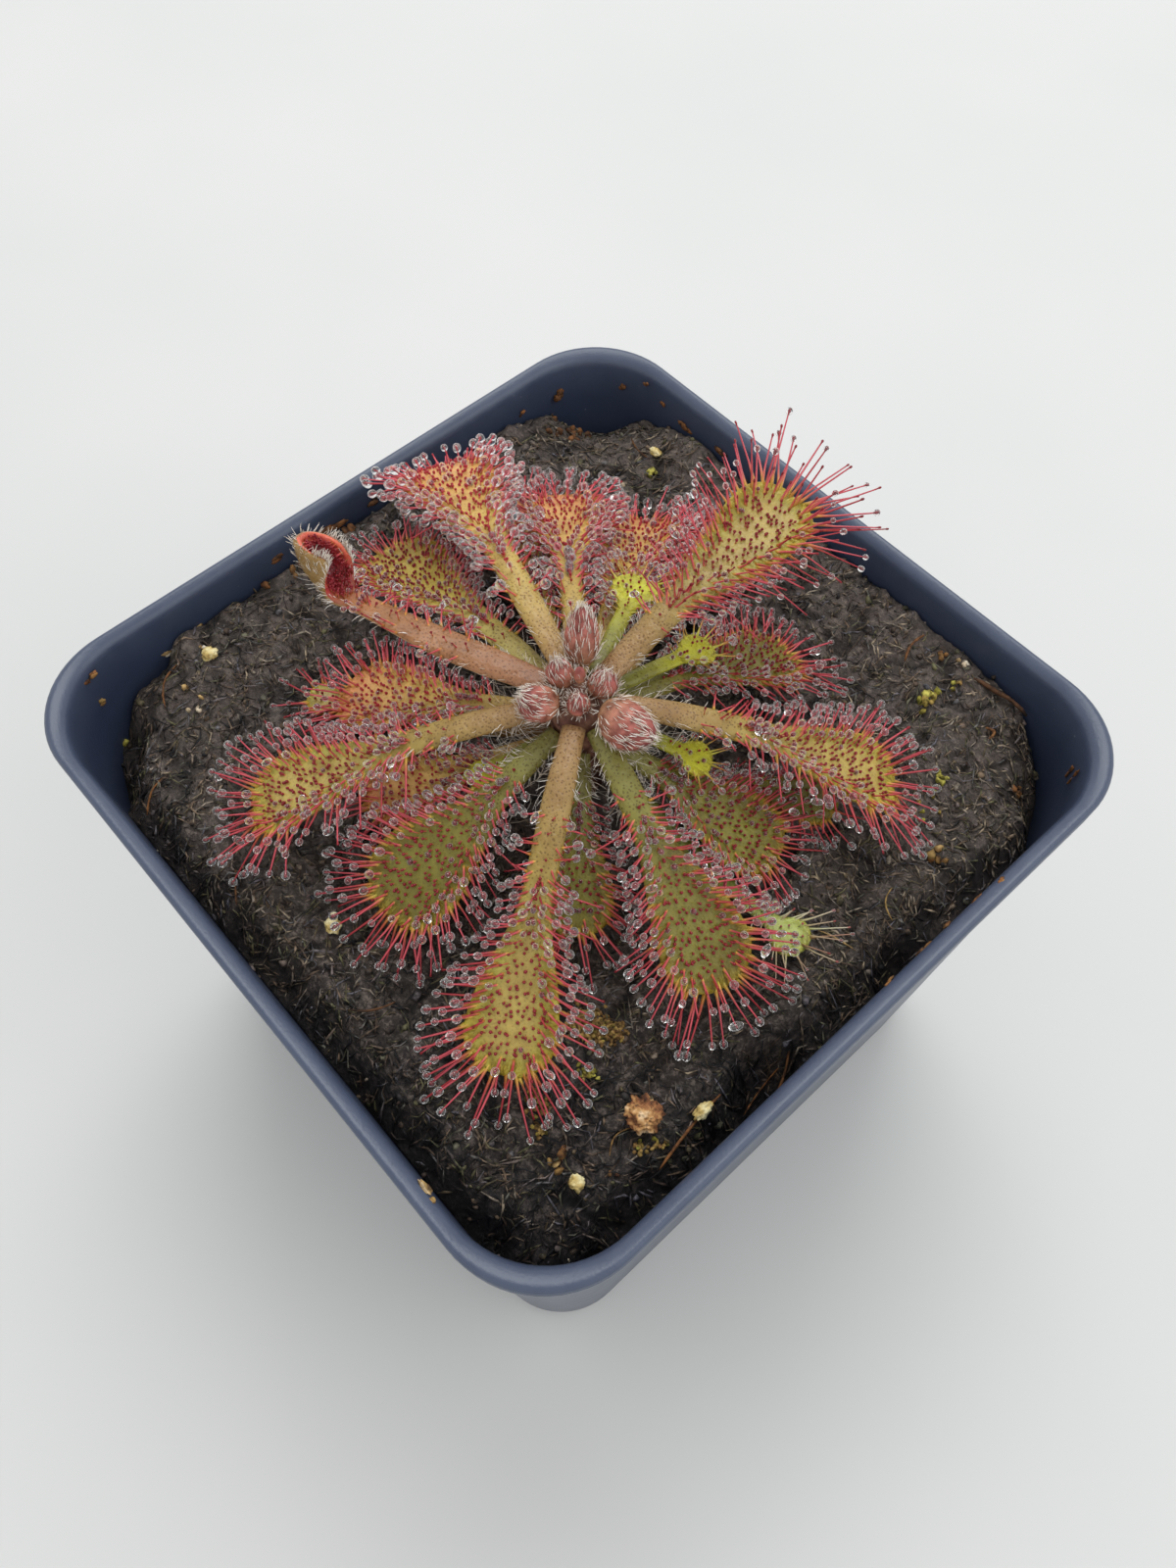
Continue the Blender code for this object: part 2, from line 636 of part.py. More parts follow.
def leaf_needles(leaf, needles):
    """Roots and tips of the leaf's glands: round its margin, then on its face."""
    lines = []
    small = leaf.half < SMALL_HALF
    spacing = NEEDLE_SPACING * (SMALL_SPACING if small else 1)
    for u, v in margin_places(leaf, spacing):
        if leaf.furled and u > leaf.split:
            continue
        point, along, across, up = leaf.frame(u)
        root_u = min(u, 1 - 0.35 * leaf.half / leaf.length)
        root = leaf.surface(root_u, v * EDGE_ROOT)
        forward = smoothstep(leaf.widest - 0.1, 1.0, u) * 1.6 + 0.25
        outward = (across * v + along * forward).normalized()
        grow = 0.75 + 0.25 * smoothstep(leaf.blade_start, leaf.widest, u)
        placed = needles.place(leaf, root, outward, up, (leaf.needle + ROOT_SUNK) * grow)
        if placed:
            lines.append(placed)
    if small or leaf.furled:
        return lines
    for u, v in FACE_SHARES:
        point, along, across, up = leaf.frame(u)
        root = leaf.surface(u, v * FACE_ROOT)
        outward = (across * v * 0.7 + along * 0.5 + up * 0.6).normalized()
        placed = needles.place(leaf, root, outward, up, FACE_LENGTH)
        if placed:
            lines.append(placed)
    return lines


def fuse_needles(obj, lines):
    """Joins the leaf and its glands in one body and removes the loose glands."""
    loose = new_collection(f"{obj.name}_glands")
    for number, (root, tip) in enumerate(lines):
        new_object(f"{obj.name}_gland_{number + 1}", needle_mesh(root, tip), loose)
    join = obj.modifiers.new("glands", "BOOLEAN")
    join.operation = "UNION"
    join.solver = "MANIFOLD"
    join.operand_type = "COLLECTION"
    join.collection = loose
    apply_modifiers(obj)
    for gland in list(loose.objects):
        bpy.data.objects.remove(gland, do_unlink=True)
    bpy.data.collections.remove(loose)


# Young leaves and loose bits


def let_down(mesh, trees):
    """Lowers the mesh until one of its corners is the usual gap from a solid."""
    fallen = 0.0
    for _ in range(LET_DOWN_STEPS):
        nearest = min(
            tree.find_nearest(vert.co - Vector((0, 0, fallen)))[3]
            for tree in trees
            for vert in mesh.verts
        )
        if nearest < GAP + 0.005:
            break
        fallen += nearest - GAP
    bmesh.ops.translate(mesh, vec=(0, 0, -fallen), verts=mesh.verts)


def build_bud(name, row, trees, collection, finish):
    direction, reach, half_length, half_width, tilt = row
    bud = bmesh.new()
    bmesh.ops.create_uvsphere(bud, u_segments=BUD_SEGMENTS, v_segments=BUD_RINGS, radius=1.0)
    for vert in bud.verts:
        taper = 1 - 0.22 * vert.co.z
        vert.co.x = vert.co.x * half_width * taper
        vert.co.y = vert.co.y * half_width * taper
        vert.co.z *= half_length
        vert.co.x -= BUD_BEND * half_width * (vert.co.z / half_length) ** 2
    angle = math.radians(direction)
    turn = Matrix.Rotation(angle, 4, "Z") @ Matrix.Rotation(math.radians(tilt), 4, "Y")
    bmesh.ops.transform(bud, matrix=turn, verts=bud.verts)
    outward = Vector((math.cos(angle), math.sin(angle), 0))
    place = outward * reach + Vector((CROWN_X, CROWN_Y, POT_HEIGHT + DROP_FROM))
    bmesh.ops.translate(bud, vec=place, verts=bud.verts)
    let_down(bud, trees)
    return new_object(name, bud, collection, finish)


def build_bit(name, row, trees, collection, finish):
    x, y, length, width, height, turn, _ = row
    bit = bmesh.new()
    bmesh.ops.create_icosphere(bit, subdivisions=2 if length > 3 else 1, radius=0.5)
    for vert in bit.verts:
        vert.co *= 1 + BIT_ROUGHNESS * noise.noise(vert.co * 3 + Vector((x, y, 0)))
    bmesh.ops.scale(bit, vec=(length, width, height), verts=bit.verts)
    bmesh.ops.rotate(bit, matrix=Matrix.Rotation(math.radians(turn), 3, "Z"), verts=bit.verts)
    bmesh.ops.translate(bit, vec=(x, y, POT_HEIGHT + DROP_FROM), verts=bit.verts)
    let_down(bit, trees)
    return new_object(name, bit, collection, finish)


def shade(obj, angle):
    if obj.data.polygons:
        obj.data.shade_smooth()
        obj.data.set_sharp_from_angle(angle=math.radians(angle))


def main():
    clear_scene()
    parts = new_collection("potted_sundew")
    cutters = new_collection("cutters")
    finish = {
        name: new_material(name, colour, roughness)
        for name, (colour, roughness) in FINISHES.items()
    }
    pot = build_pot(parts, cutters, finish["pot"])
    soil = build_soil(parts, cutters, finish["soil"])
    stem = build_stem(parts, finish["stem"])
    solids = {"pot": pot, "soil": soil, "stem": stem}
    leaves = [Leaf(name, row) for name, row in LEAVES.items()]
    for leaf in leaves:
        solids[leaf.name] = build_blade(leaf, parts, finish[leaf.colour])
    bpy.context.view_layer.update()
    trees = {name: tree_of(obj) for name, obj in solids.items()}
    for name, row in BUDS.items():
        solids[name] = build_bud(name, row, trees.values(), parts, finish["bud"])
        trees[name] = tree_of(solids[name])
    for name, row in BITS.items():
        solids[name] = build_bit(name, row, trees.values(), parts, finish[row[6]])
        trees[name] = tree_of(solids[name])
    needles = Needles(trees)
    lines = {leaf.name: leaf_needles(leaf, needles) for leaf in leaves}
    for name, places in lines.items():
        fuse_needles(solids[name], places)
    for name, obj in solids.items():
        shade(obj, 30 if name in ("pot", "soil") else 60)


main()
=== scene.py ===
import math
import random

import bmesh
import bpy
from mathutils import Matrix, Vector, noise
from mathutils.bvhtree import BVHTree


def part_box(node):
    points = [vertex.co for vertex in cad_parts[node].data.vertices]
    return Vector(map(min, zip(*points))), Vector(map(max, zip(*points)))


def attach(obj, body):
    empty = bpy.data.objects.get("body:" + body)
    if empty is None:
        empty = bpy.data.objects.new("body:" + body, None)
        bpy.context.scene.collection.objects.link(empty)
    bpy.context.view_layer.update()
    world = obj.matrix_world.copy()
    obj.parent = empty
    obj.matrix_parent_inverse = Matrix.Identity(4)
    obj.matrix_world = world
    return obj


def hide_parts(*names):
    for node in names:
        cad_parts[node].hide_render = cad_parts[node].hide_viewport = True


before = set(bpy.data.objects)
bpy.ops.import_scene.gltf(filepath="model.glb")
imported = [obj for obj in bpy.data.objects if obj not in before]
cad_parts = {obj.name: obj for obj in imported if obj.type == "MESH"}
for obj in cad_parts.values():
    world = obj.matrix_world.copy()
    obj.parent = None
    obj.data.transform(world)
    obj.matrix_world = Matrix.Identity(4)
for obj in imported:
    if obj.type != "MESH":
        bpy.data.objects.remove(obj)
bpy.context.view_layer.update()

# Lengths are in millimetres until newPiece turns a finished mesh to metres.
# The pot's sides lie along X and Y and its base stands at z = 0.
scene = bpy.context.scene
noise.seed_set(7)  # the noise vectors would start from the clock without it
millimetre = 0.001


# Helpers


def toLinear(code):
    channels = [int(code[at:at + 2], 16) / 255 for at in (0, 2, 4)]
    return [c / 12.92 if c <= 0.04045 else ((c + 0.055) / 1.055) ** 2.4 for c in channels] + [1.0]


def addNode(tree, kind, inputs=None, stops=None, output=0, **settings):
    # inputs takes sockets to link or plain values, stops a colour ramp's places and colours
    node = tree.nodes.new("ShaderNode" + kind)
    for name, value in settings.items():
        setattr(node, name, value)
    for name, value in (inputs or {}).items():
        if isinstance(value, bpy.types.NodeSocket):
            tree.links.new(value, node.inputs[name])
        else:
            node.inputs[name].default_value = value
    if stops:
        ends = node.color_ramp.elements
        ends[0].position, ends[1].position = stops[0][0], stops[-1][0]
        ends[0].color, ends[1].color = toLinear(stops[0][1]), toLinear(stops[-1][1])
        for place, code in stops[1:-1]:
            ends.new(place).color = toLinear(code)
    return node.outputs[output]


# settings of a Mix node between the colours on its sockets 6 and 7
blend = {"output": 2, "data_type": "RGBA"}
multiply = {**blend, "blend_type": "MULTIPLY"}


def newMaterial(name, **values):
    material = bpy.data.materials.new(name)
    material.use_nodes = True
    shader = material.node_tree.nodes["Principled BSDF"]
    for socket, value in values.items():
        shader.inputs[socket.replace("_", " ")].default_value = value
    return material, material.node_tree


def linkShader(tree, **sockets):
    shader = tree.nodes["Principled BSDF"]
    for name, socket in sockets.items():
        tree.links.new(socket, shader.inputs[name.replace("_", " ")])


def pattern(tree, source):
    # what varies over a surface: an attribute's name, or a texture's kind and inputs
    if isinstance(source, str):
        return addNode(tree, "Attribute", output="Fac", attribute_name=source)
    kind, inputs = source
    return addNode(tree, kind, {"Vector": addNode(tree, "TexCoord", output="Object"), **inputs})


def rampedMaterial(name, colours, shade=None, relief=None, **values):
    # colours and shade are each a pattern and its ramp; relief is a pattern, strength and depth
    material, tree = newMaterial(name, **values)
    colour = addNode(tree, "ValToRGB", {"Fac": pattern(tree, colours[0])}, colours[1])
    if shade:
        darker = addNode(tree, "ValToRGB", {"Fac": pattern(tree, shade[0])}, shade[1])
        colour = addNode(tree, "Mix", {0: 1.0, 6: colour, 7: darker}, **multiply)
    linkShader(tree, Base_Color=colour)
    if relief:
        source, strength, depth = relief
        linkShader(tree, Normal=addNode(tree, "Bump", {
            "Height": pattern(tree, source), "Strength": strength, "Distance": depth * millimetre}))
    return material


def newMesh(name, work):
    mesh = bpy.data.meshes.new(name)
    work.to_mesh(mesh)
    work.free()
    return mesh


def newObject(name, data):
    item = bpy.data.objects.new(name, data)
    scene.collection.objects.link(item)
    return item


def toMetres(work):
    bmesh.ops.scale(work, vec=(millimetre, millimetre, millimetre), verts=work.verts)


def newPiece(name, work, material, replaced=None):
    # a bmesh in millimetres becomes a piece in metres that rides on the pot
    toMetres(work)
    mesh = newMesh(name, work)
    mesh.shade_smooth()
    mesh.materials.append(material)
    piece = newObject(name, mesh)
    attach(piece, "root")
    if replaced:
        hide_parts(replaced)
    return piece


def smoothstep(low, high, value):
    share = min(max((value - low) / (high - low), 0.0), 1.0)
    return share * share * (3 - 2 * share)


def drawOut(work, face):
    # extrudes an end face and keeps no face inside
    closed = all(edge.is_manifold for edge in face.edges)
    made = bmesh.ops.extrude_face_region(work, geom=[face])
    if closed:
        bmesh.ops.delete(work, geom=[face], context="FACES_ONLY")
    return next(item for item in made["geom"] if isinstance(item, bmesh.types.BMFace))


def template(name, work, layers=("along", "tone")):
    # a small mesh that is bent and copied many times, with its own layers to colour it by
    for layer in layers:
        work.verts.layers.float.new(layer)
    mesh = newMesh(name, work)
    return mesh, [vert.co.copy() for vert in mesh.vertices]


def ballTemplate(name, subdivisions, layers=("along", "tone")):
    work = bmesh.new()
    bmesh.ops.create_icosphere(work, subdivisions=subdivisions, radius=1.0)
    return template(name, work, layers)


def tubeTemplate(name, sides, rings):
    # each vertex keeps its ring's number in z and its place on the unit circle in x and y
    work = bmesh.new()
    bmesh.ops.create_circle(work, cap_ends=True, segments=sides, radius=1.0)
    face = next(iter(work.faces))
    for ring in range(rings - 1):
        face = drawOut(work, face)
        bmesh.ops.translate(work, vec=(0, 0, 1), verts=face.verts)
    bmesh.ops.recalc_face_normals(work, faces=work.faces)
    return template(name, work)


def stamp(work, shape, coords, tone=None, along=None):
    # adds a template's copy with its vertices at coords
    mesh, places = shape
    mesh.vertices.foreach_set("co", coords)
    if along:
        mesh.attributes["along"].data.foreach_set("value", along)
    if tone is not None:
        mesh.attributes["tone"].data.foreach_set("value", [tone] * len(places))
    work.from_mesh(mesh)


def addTube(work, shape, path, radii, along, tone):
    # path gives a point and a direction for each ring
    rings = []
    for point, line in path:
        side = line.cross(Vector((0.31, 0.17, 0.93))).normalized()
        rings.append((point, side, line.cross(side).normalized()))
    coords, shares = [], []
    for place in shape[1]:
        ring = round(place.z)
        point, side, other = rings[ring]
        coords.extend(point + (side * place.x + other * place.y) * radii[ring])
        shares.append(along[ring])
    stamp(work, shape, coords, tone, shares)


def pathThrough(points):
    lines = [(b - a).normalized() for a, b in zip(points, points[1:])]
    return list(zip(points, lines + lines[-1:]))


def bentPath(root, start, end, length, shares):
    # a stalk that leaves along start and turns to end
    return [(root + (start * (t - t * t / 2) + end * (t * t / 2)) * length,
             (start * (1 - t) + end * t).normalized()) for t in shares]


def anyDirection(draw):
    return Vector([draw.gauss(0, 1) for _ in range(3)]).normalized()


# Camera, floor and light

view = {
    "place": (45.09, -39.34, 160.91),  # fitted to the four sides of the pot's rim
    "right": (0.66901, 0.74326, 0.00286),
    "up": (-0.65106, 0.58415, 0.48469),
    "ahead": (-0.35857, 0.32612, -0.87469),
    "sensorHeight": 36,
    "lens": 28.305,
    "nearest": 0.005,
}
light = {
    "softboxPlace": (-0.45, 0.50, 1.20),  # these places and sizes are in metres
    "softboxSize": 0.80,
    "softboxPower": 7.6,
    "fillPlace": (0.45, 0.20, 0.55),
    "fillSize": 0.5,
    "fillPower": 0.8,
    "target": (0, 0, 0.05),
    "zenith": "DADAD8",
    "horizon": "FFFFFF",
    "skyStrength": 1.15,
    "floorHalf": 3.0,
}

cameraData = bpy.data.cameras.new("camera")
cameraData.sensor_fit = "VERTICAL"
cameraData.sensor_height = view["sensorHeight"]
cameraData.lens = view["lens"]
cameraData.clip_start = view["nearest"]
camera = newObject("camera", cameraData)
turn = Matrix([view["right"], view["up"], [-value for value in view["ahead"]]]).transposed()
camera.matrix_world = Matrix.Translation(Vector(view["place"]) * millimetre) @ turn.to_4x4()
scene.camera = camera
scene.view_settings.view_transform = "Standard"

for name in ("softbox", "fill"):
    data = bpy.data.lights.new(name, "AREA")
    data.shape = "SQUARE"
    data.size = light[name + "Size"]
    data.energy = light[name + "Power"]
    lamp = newObject(name, data)
    lamp.location = light[name + "Place"]
    aim = Vector(light[name + "Place"]) - Vector(light["target"])
    lamp.rotation_euler = aim.to_track_quat("Z", "Y").to_euler()

# a white tent: its walls are brighter than its top
scene.world = bpy.data.worlds.new("studio")
scene.world.use_nodes = True
sky = scene.world.node_tree
upward = addNode(sky, "TexCoord", output="Generated")
upward = addNode(sky, "SeparateXYZ", {"Vector": upward}, output="Z")
tent = addNode(sky, "ValToRGB", {"Fac": upward}, [(0.0, light["horizon"]), (0.55, light["zenith"])])
background = sky.nodes["Background"]
sky.links.new(tent, background.inputs["Color"])
background.inputs["Strength"].default_value = light["skyStrength"]

# painted board, rolled matt: an even pale grey with a hardly visible mottle
boardPaint = rampedMaterial(
    "matt painted board",
    (("TexNoise", {"Scale": 9.0, "Detail": 3.0}), [(0.3, "CDCFCF"), (0.7, "D3D4D4")]), Roughness=0.62)
work = bmesh.new()
bmesh.ops.create_grid(work, x_segments=1, y_segments=1, size=light["floorHalf"])
floor = newObject("floor", newMesh("floor", work))
floor.data.materials.append(boardPaint)
print("camera, floor and light set")


# Pot

pot = {
    "height": 65.0,
    "rimHalf": 37.5,
    "baseHalf": 33.3,
    "overhang": 0.55,
    "wall": 1.1,
    "cornerRadius": 9.7,  # at the rim
    "cornerSegments": 16,
    "drainRadius": 3.2,
    "drainOffset": 21.0,
    "drainSegments": 32,
}

# polypropylene, moulded from a spark-eroded tool: slate blue-black with a fine even grain, a
# satin gloss that turns milky where the light grazes it, scuffs, dust specks, and a painted reflection that
# makes the rim paler
slatePlastic, tree = newMaterial("moulded polypropylene, slate", IOR=1.49)
place = addNode(tree, "TexCoord", output="Object")
cloud = addNode(tree, "TexNoise", {"Vector": place, "Scale": 110.0, "Detail": 5.0})
tint = addNode(tree, "ValToRGB", {"Fac": cloud}, [(0.32, "323C53"), (0.55, "353F57"), (0.75, "3B455B")])
# mould grain of 0.25 mm, and longer scuffs about 3 mm apart
grain = addNode(tree, "TexNoise", {"Vector": place, "Scale": 4000.0, "Detail": 2.0})
scuff = addNode(tree, "TexNoise", {"Vector": place, "Scale": 330.0, "Detail": 5.0, "Roughness": 0.7})
# dust settles thinly as pale specks of 0.2 mm
speck = addNode(tree, "TexVoronoi", {"Vector": place, "Scale": 900.0})
dust = addNode(tree, "ValToRGB", {"Fac": speck}, [(0.05, "FFFFFF"), (0.14, "000000")])
rare = addNode(tree, "ValToRGB", {"Fac": scuff}, [(0.56, "000000"), (0.62, "FFFFFF")])
dusty = addNode(tree, "Math", {0: dust, 1: rare}, operation="MULTIPLY")
dusted = addNode(tree, "Mix", {0: dusty, 6: tint, 7: toLinear("7E858F")}, **blend)
# painted reflection: the walls' tops are painted paler, and the rim most, patchy with the scuffs
level = addNode(tree, "SeparateXYZ", {"Vector": place}, output="Z")
above = addNode(tree, "MapRange", {"Value": level, 1: 0.0598, 2: 0.0646})
patchyRimReflection = addNode(tree, "MapRange", {"Value": scuff, 1: 0.3, 2: 0.7, 3: 0.45, 4: 0.95})
paintedRimReflection = addNode(tree, "Math", {0: above, 1: patchyRimReflection}, operation="MULTIPLY")
withRimReflection = addNode(tree, "Mix", {0: paintedRimReflection, 6: dusted, 7: toLinear("465166")}, **blend)
gloss = addNode(tree, "MapRange", {"Value": scuff, 3: 0.24, 4: 0.42})
relief = addNode(tree, "Math", {0: scuff, 1: grain}, operation="ADD")
bump = addNode(tree, "Bump", {"Height": relief, "Strength": 0.35, "Distance": 0.00006})
linkShader(tree, Base_Color=withRimReflection, Roughness=gloss, Normal=bump)


def bodyHalf(height):
    top = pot["rimHalf"] - pot["overhang"]
    return pot["baseHalf"] + (top - pot["baseHalf"]) * height / pot["height"]


def innerHalf(margin=0.0):
    # half the distance between the inner walls at the top
    return bodyHalf(pot["height"]) - pot["wall"] - margin


def roundedRows(rows):
    # one closed skin with round upright corners, through rows of height and half side
    block = bmesh.new()
    height, half = rows[0]
    bmesh.ops.create_grid(block, x_segments=1, y_segments=1, size=half)
    bmesh.ops.translate(block, vec=(0, 0, height), verts=block.verts)
    radius = pot["cornerRadius"] * half / pot["rimHalf"]
    bmesh.ops.bevel(block, geom=block.verts[:], offset=radius, affect="VERTICES",
                    offset_type="OFFSET", segments=pot["cornerSegments"], profile=0.5, material=-1)
    face = next(iter(block.faces))
    for nextHeight, nextHalf in rows[1:]:
        face = drawOut(block, face)
        bmesh.ops.translate(block, vec=(0, 0, nextHeight - height), verts=face.verts)
        grow = nextHalf / half
        bmesh.ops.scale(block, vec=(grow, grow, 1), verts=face.verts)
        height, half = nextHeight, nextHalf
    bmesh.ops.recalc_face_normals(block, faces=block.faces)
    return block


# the moulding's section: foot, wall, lip with its parting line, rounded rim, inner wall, floor
foot = [(0.35, 1.0), (0.0, 0.65), (0.05, 0.3), (0.25, 0.08)]
lip = [(62.0, 0.35), (62.2, 0.14), (62.5, 0.09), (63.55, 0.06), (63.65, 0.18), (63.8, 0.20),
       (63.9, 0.08), (64.5, 0.0), (64.78, 0.08), (64.95, 0.24), (65.0, 0.42), (64.94, 0.65),
       (64.8, 1.0), (64.6, 1.3), (64.3, 1.52), (63.8, 1.63)]
potRows = [(height, pot["baseHalf"] - inset) for height, inset in foot]
potRows += [(height, bodyHalf(height)) for height in (0.8, 20.0, 40.0, 61.3)]
potRows += [(61.8, bodyHalf(61.8) + 0.05)]
potRows += [(height, pot["rimHalf"] - inset) for height, inset in lip]
potRows += [(height, bodyHalf(height) - inset)
            for height, inset in ((62.5, 1.1), (40.0, 1.1), (3.0, 1.1), (1.8, 1.4), (1.6, 2.0))]
potPiece = newPiece("moulded_pot", roundedRows(potRows), slatePlastic, "pot")
drill = bmesh.new()
far = pot["drainOffset"]
for x, y in ((0, 0), (-far, -far), (-far, far), (far, -far), (far, far)):
    made = bmesh.ops.create_cone(drill, cap_ends=True, segments=pot["drainSegments"],
                                 radius1=pot["drainRadius"], radius2=pot["drainRadius"], depth=6)
    bmesh.ops.translate(drill, vec=(x, y, 0.8), verts=made["verts"])
toMetres(drill)
drillObject = newObject("drill", newMesh("drill", drill))
drain = potPiece.modifiers.new("drain holes", "BOOLEAN")
drain.object = drillObject
graph = bpy.context.evaluated_depsgraph_get()
drilled = bpy.data.meshes.new_from_object(potPiece.evaluated_get(graph))
potPiece.modifiers.clear()
potPiece.data = drilled
bpy.data.objects.remove(drillObject)
drilled.shade_smooth()
drilled.set_sharp_from_angle(angle=math.radians(40))
print("pot made")


# Compost

soil = {
    "drop": 6.4,
    "lump": 0.5,
    "lumpSize": 9.0,
    "cornerDrop": 3.0,
    "cornerStart": 0.55,
    "backRise": 2.6,
    "backStart": 0.6,
    "edgeDrop": 4.2,
    "edgeWidth": 4.4,
    "raggedness": 1.3,
    "crumb": 0.46,
    "crumbSize": 2.1,
    "clod": 0.26,
    "clodSize": 3.2,
    "cells": 190,
    "wallGap": 1.25,  # from the outer wall
    "foot": 1.9,
    # x, y, radius and depth of the pockets that watering has washed out by the walls
    "pockets": ((34.9, 32.8, 7.0, 4.2), (30.0, 36.5, 4.5, 2.6), (-33.4, -33.4, 7.0, 3.6),
                (35.3, -8.6, 5.4, 3.4), (35.4, -14.0, 3.4, 2.2), (-33.5, 33.5, 6.0, 1.6),
                (-36.0, -25.0, 3.6, 2.2), (12.0, -36.0, 3.6, 1.6), (36.0, 8.0, 4.2, 1.8)),
}
crown = {"x": 2.0, "y": -1.0, "radius": 2.7, "gap": 0.3}


def clods(x, y):
    # from -1 in the hollows to about 0.6 on the clods
    bent = Vector((x, y, 0)) + 1.6 * noise.noise_vector(Vector((x, y, 70)) / 4.0)
    rise = noise.noise(Vector((bent.x, bent.y, 80)) / soil["clodSize"])
    rise += 0.5 * noise.noise(Vector((bent.x, bent.y, 90)) / (soil["clodSize"] / 2))
    return rise - 1.1 * math.exp(-(noise.noise(Vector((bent.x, bent.y, 95)) / 5.5) / 0.07) ** 2)


def compostHeight(x, y):
    # the CAD solid's form, with crumbs of a few millimetres and the pockets
    half = innerHalf()
    corner = smoothstep(soil["cornerStart"], 1, abs(x) / half)
    corner *= smoothstep(soil["cornerStart"], 1, abs(y) / half)
    back = max(smoothstep(soil["backStart"], 1, -x / half), smoothstep(soil["backStart"], 1, y / half))
    ragged = soil["raggedness"] * noise.noise(Vector((x / 4.5, y / 4.5, 20)))
    start = half - soil["edgeWidth"] + ragged
    edge = max(smoothstep(start, half, x), smoothstep(start, half, -y))
    lumps = noise.noise(Vector((x, y, 3)) / soil["lumpSize"])
    lumps += 0.5 * noise.noise(Vector((x, y, 9)) / (soil["lumpSize"] / 2))
    level = pot["height"] - soil["drop"] + soil["backRise"] * back + soil["lump"] * lumps
    level -= (soil["cornerDrop"] + soil["backRise"]) * corner + soil["edgeDrop"] * edge
    for px, py, radius, depth in soil["pockets"]:
        away = math.hypot(x - px, y - py) + ragged
        level -= depth * (1 - smoothstep(radius * 0.35, radius, away))
    spot = Vector((x, y, 5)) / soil["crumbSize"]
    level += soil["crumb"] * noise.fractal(spot, 0.7, 2.1, 4)
    return level - 0.30 * abs(noise.noise(spot * 1.7)) + soil["clod"] * clods(x, y)


def roundSquareReach(x, y):
    # how much a point of a unit square's edge moves in to lie on the round-cornered one
    radius = pot["cornerRadius"] / pot["rimHalf"]
    inner = 1 - radius
    x, y = sorted((abs(x), abs(y)), reverse=True)
    if x == 0 or y / x <= inner:
        return 1.0
    slope = y / x
    a = 1 + slope * slope
    b = -2 * inner * (1 + slope)
    c = 2 * inner * inner - radius * radius
    return (-b + math.sqrt(b * b - 4 * a * c)) / (2 * a)


def inPot(x, y, margin):
    # whether a place lies inside the pot's inner wall
    half = innerHalf(margin)
    x, y = abs(x) / half, abs(y) / half
    inner = 1 - pot["cornerRadius"] / pot["rimHalf"]
    if x > 1 or y > 1:
        return False
    return x < inner or y < inner or math.hypot(x - inner, y - inner) < 1 - inner


# damp peat, milled: its pores painted near black as painted shade, brown and olive-grey on the dried fibre
# ends, with a weak wet gloss
dampPeat, tree = newMaterial("damp milled peat", IOR=1.40)
place = addNode(tree, "TexCoord", output="Object")
patch = addNode(tree, "TexNoise", {"Vector": place, "Scale": 190.0, "Detail": 5.0})
crumbs = addNode(tree, "TexNoise", {"Vector": place, "Scale": 1500.0, "Detail": 6.0, "Roughness": 0.75})
wide = addNode(tree, "ValToRGB", {"Fac": patch},
               [(0.30, "2A2624"), (0.42, "463C36"), (0.52, "424034"), (0.62, "50443A"), (0.75, "645A50")])
# painted shade: where the crumb relief is lowest it is painted near black; its tops are pale
fine = addNode(tree, "ValToRGB", {"Fac": crumbs}, [(0.38, "0C0B0E"), (0.50, "4C4442"), (0.62, "A8988E")])
colour = addNode(tree, "Mix", {0: 0.62, 6: wide, 7: fine}, **blend)
# towards the near corner it is darker, and away from it paler
axes = addNode(tree, "SeparateXYZ", {"Vector": place}).node.outputs
near = addNode(tree, "Math", {0: axes[0], 1: axes[1]}, operation="SUBTRACT")
damp = addNode(tree, "MapRange", {"Value": near, 1: 0.030, 2: 0.062, 3: 0.0, 4: 0.5})
dry = addNode(tree, "MapRange", {"Value": near, 1: 0.044, 2: 0.010, 3: 0.0, 4: 0.36})
# painted shade: near black in the clods' hollows and along the front walls, following the rise attribute
hollowShade = addNode(tree, "MapRange", {"Value": pattern(tree, "rise"), 1: -0.8, 2: 0.0, 3: 0.66, 4: 0.0})
for share, code in ((dry, "8A7E78"), (damp, "302F35"), (hollowShade, "121214")):
    colour = addNode(tree, "Mix", {0: share, 6: colour, 7: toLinear(code)}, **blend)
wet = addNode(tree, "MapRange", {"Value": patch, 1: 0.3, 2: 0.7, 3: 0.55, 4: 0.9})
bump = addNode(tree, "Bump", {"Height": crumbs, "Strength": 1.0, "Distance": 0.0007})
linkShader(tree, Base_Color=colour, Roughness=wet, Normal=bump)

work = bmesh.new()
bmesh.ops.create_grid(work, x_segments=soil["cells"], y_segments=soil["cells"], size=1.0)
rise = work.verts.layers.float.new("rise")
topHalf = bodyHalf(56) - soil["wallGap"]
for vert in work.verts:
    spot = vert.co * roundSquareReach(vert.co.x, vert.co.y) * topHalf
    vert.co = (spot.x, spot.y, compostHeight(spot.x, spot.y))
    # rise is the clods' height, lowered along the front walls; the peat's painted shade follows it
    near = max(spot.x, -spot.y) - (innerHalf() - soil["edgeWidth"])
    vert[rise] = clods(spot.x, spot.y) - smoothstep(0.3, 3.4, near)
made = bmesh.ops.extrude_edge_only(work, edges=[edge for edge in work.edges if edge.is_boundary])
shrink = (bodyHalf(2) - 1.4) / topHalf
for vert in made["geom"]:
    if isinstance(vert, bmesh.types.BMVert):
        vert.co = (vert.co.x * shrink, vert.co.y * shrink, soil["foot"])
bmesh.ops.contextual_create(work, geom=[edge for edge in work.edges if edge.is_boundary])
bmesh.ops.recalc_face_normals(work, faces=work.faces)
newPiece("peat", work, dampPeat, "soil")

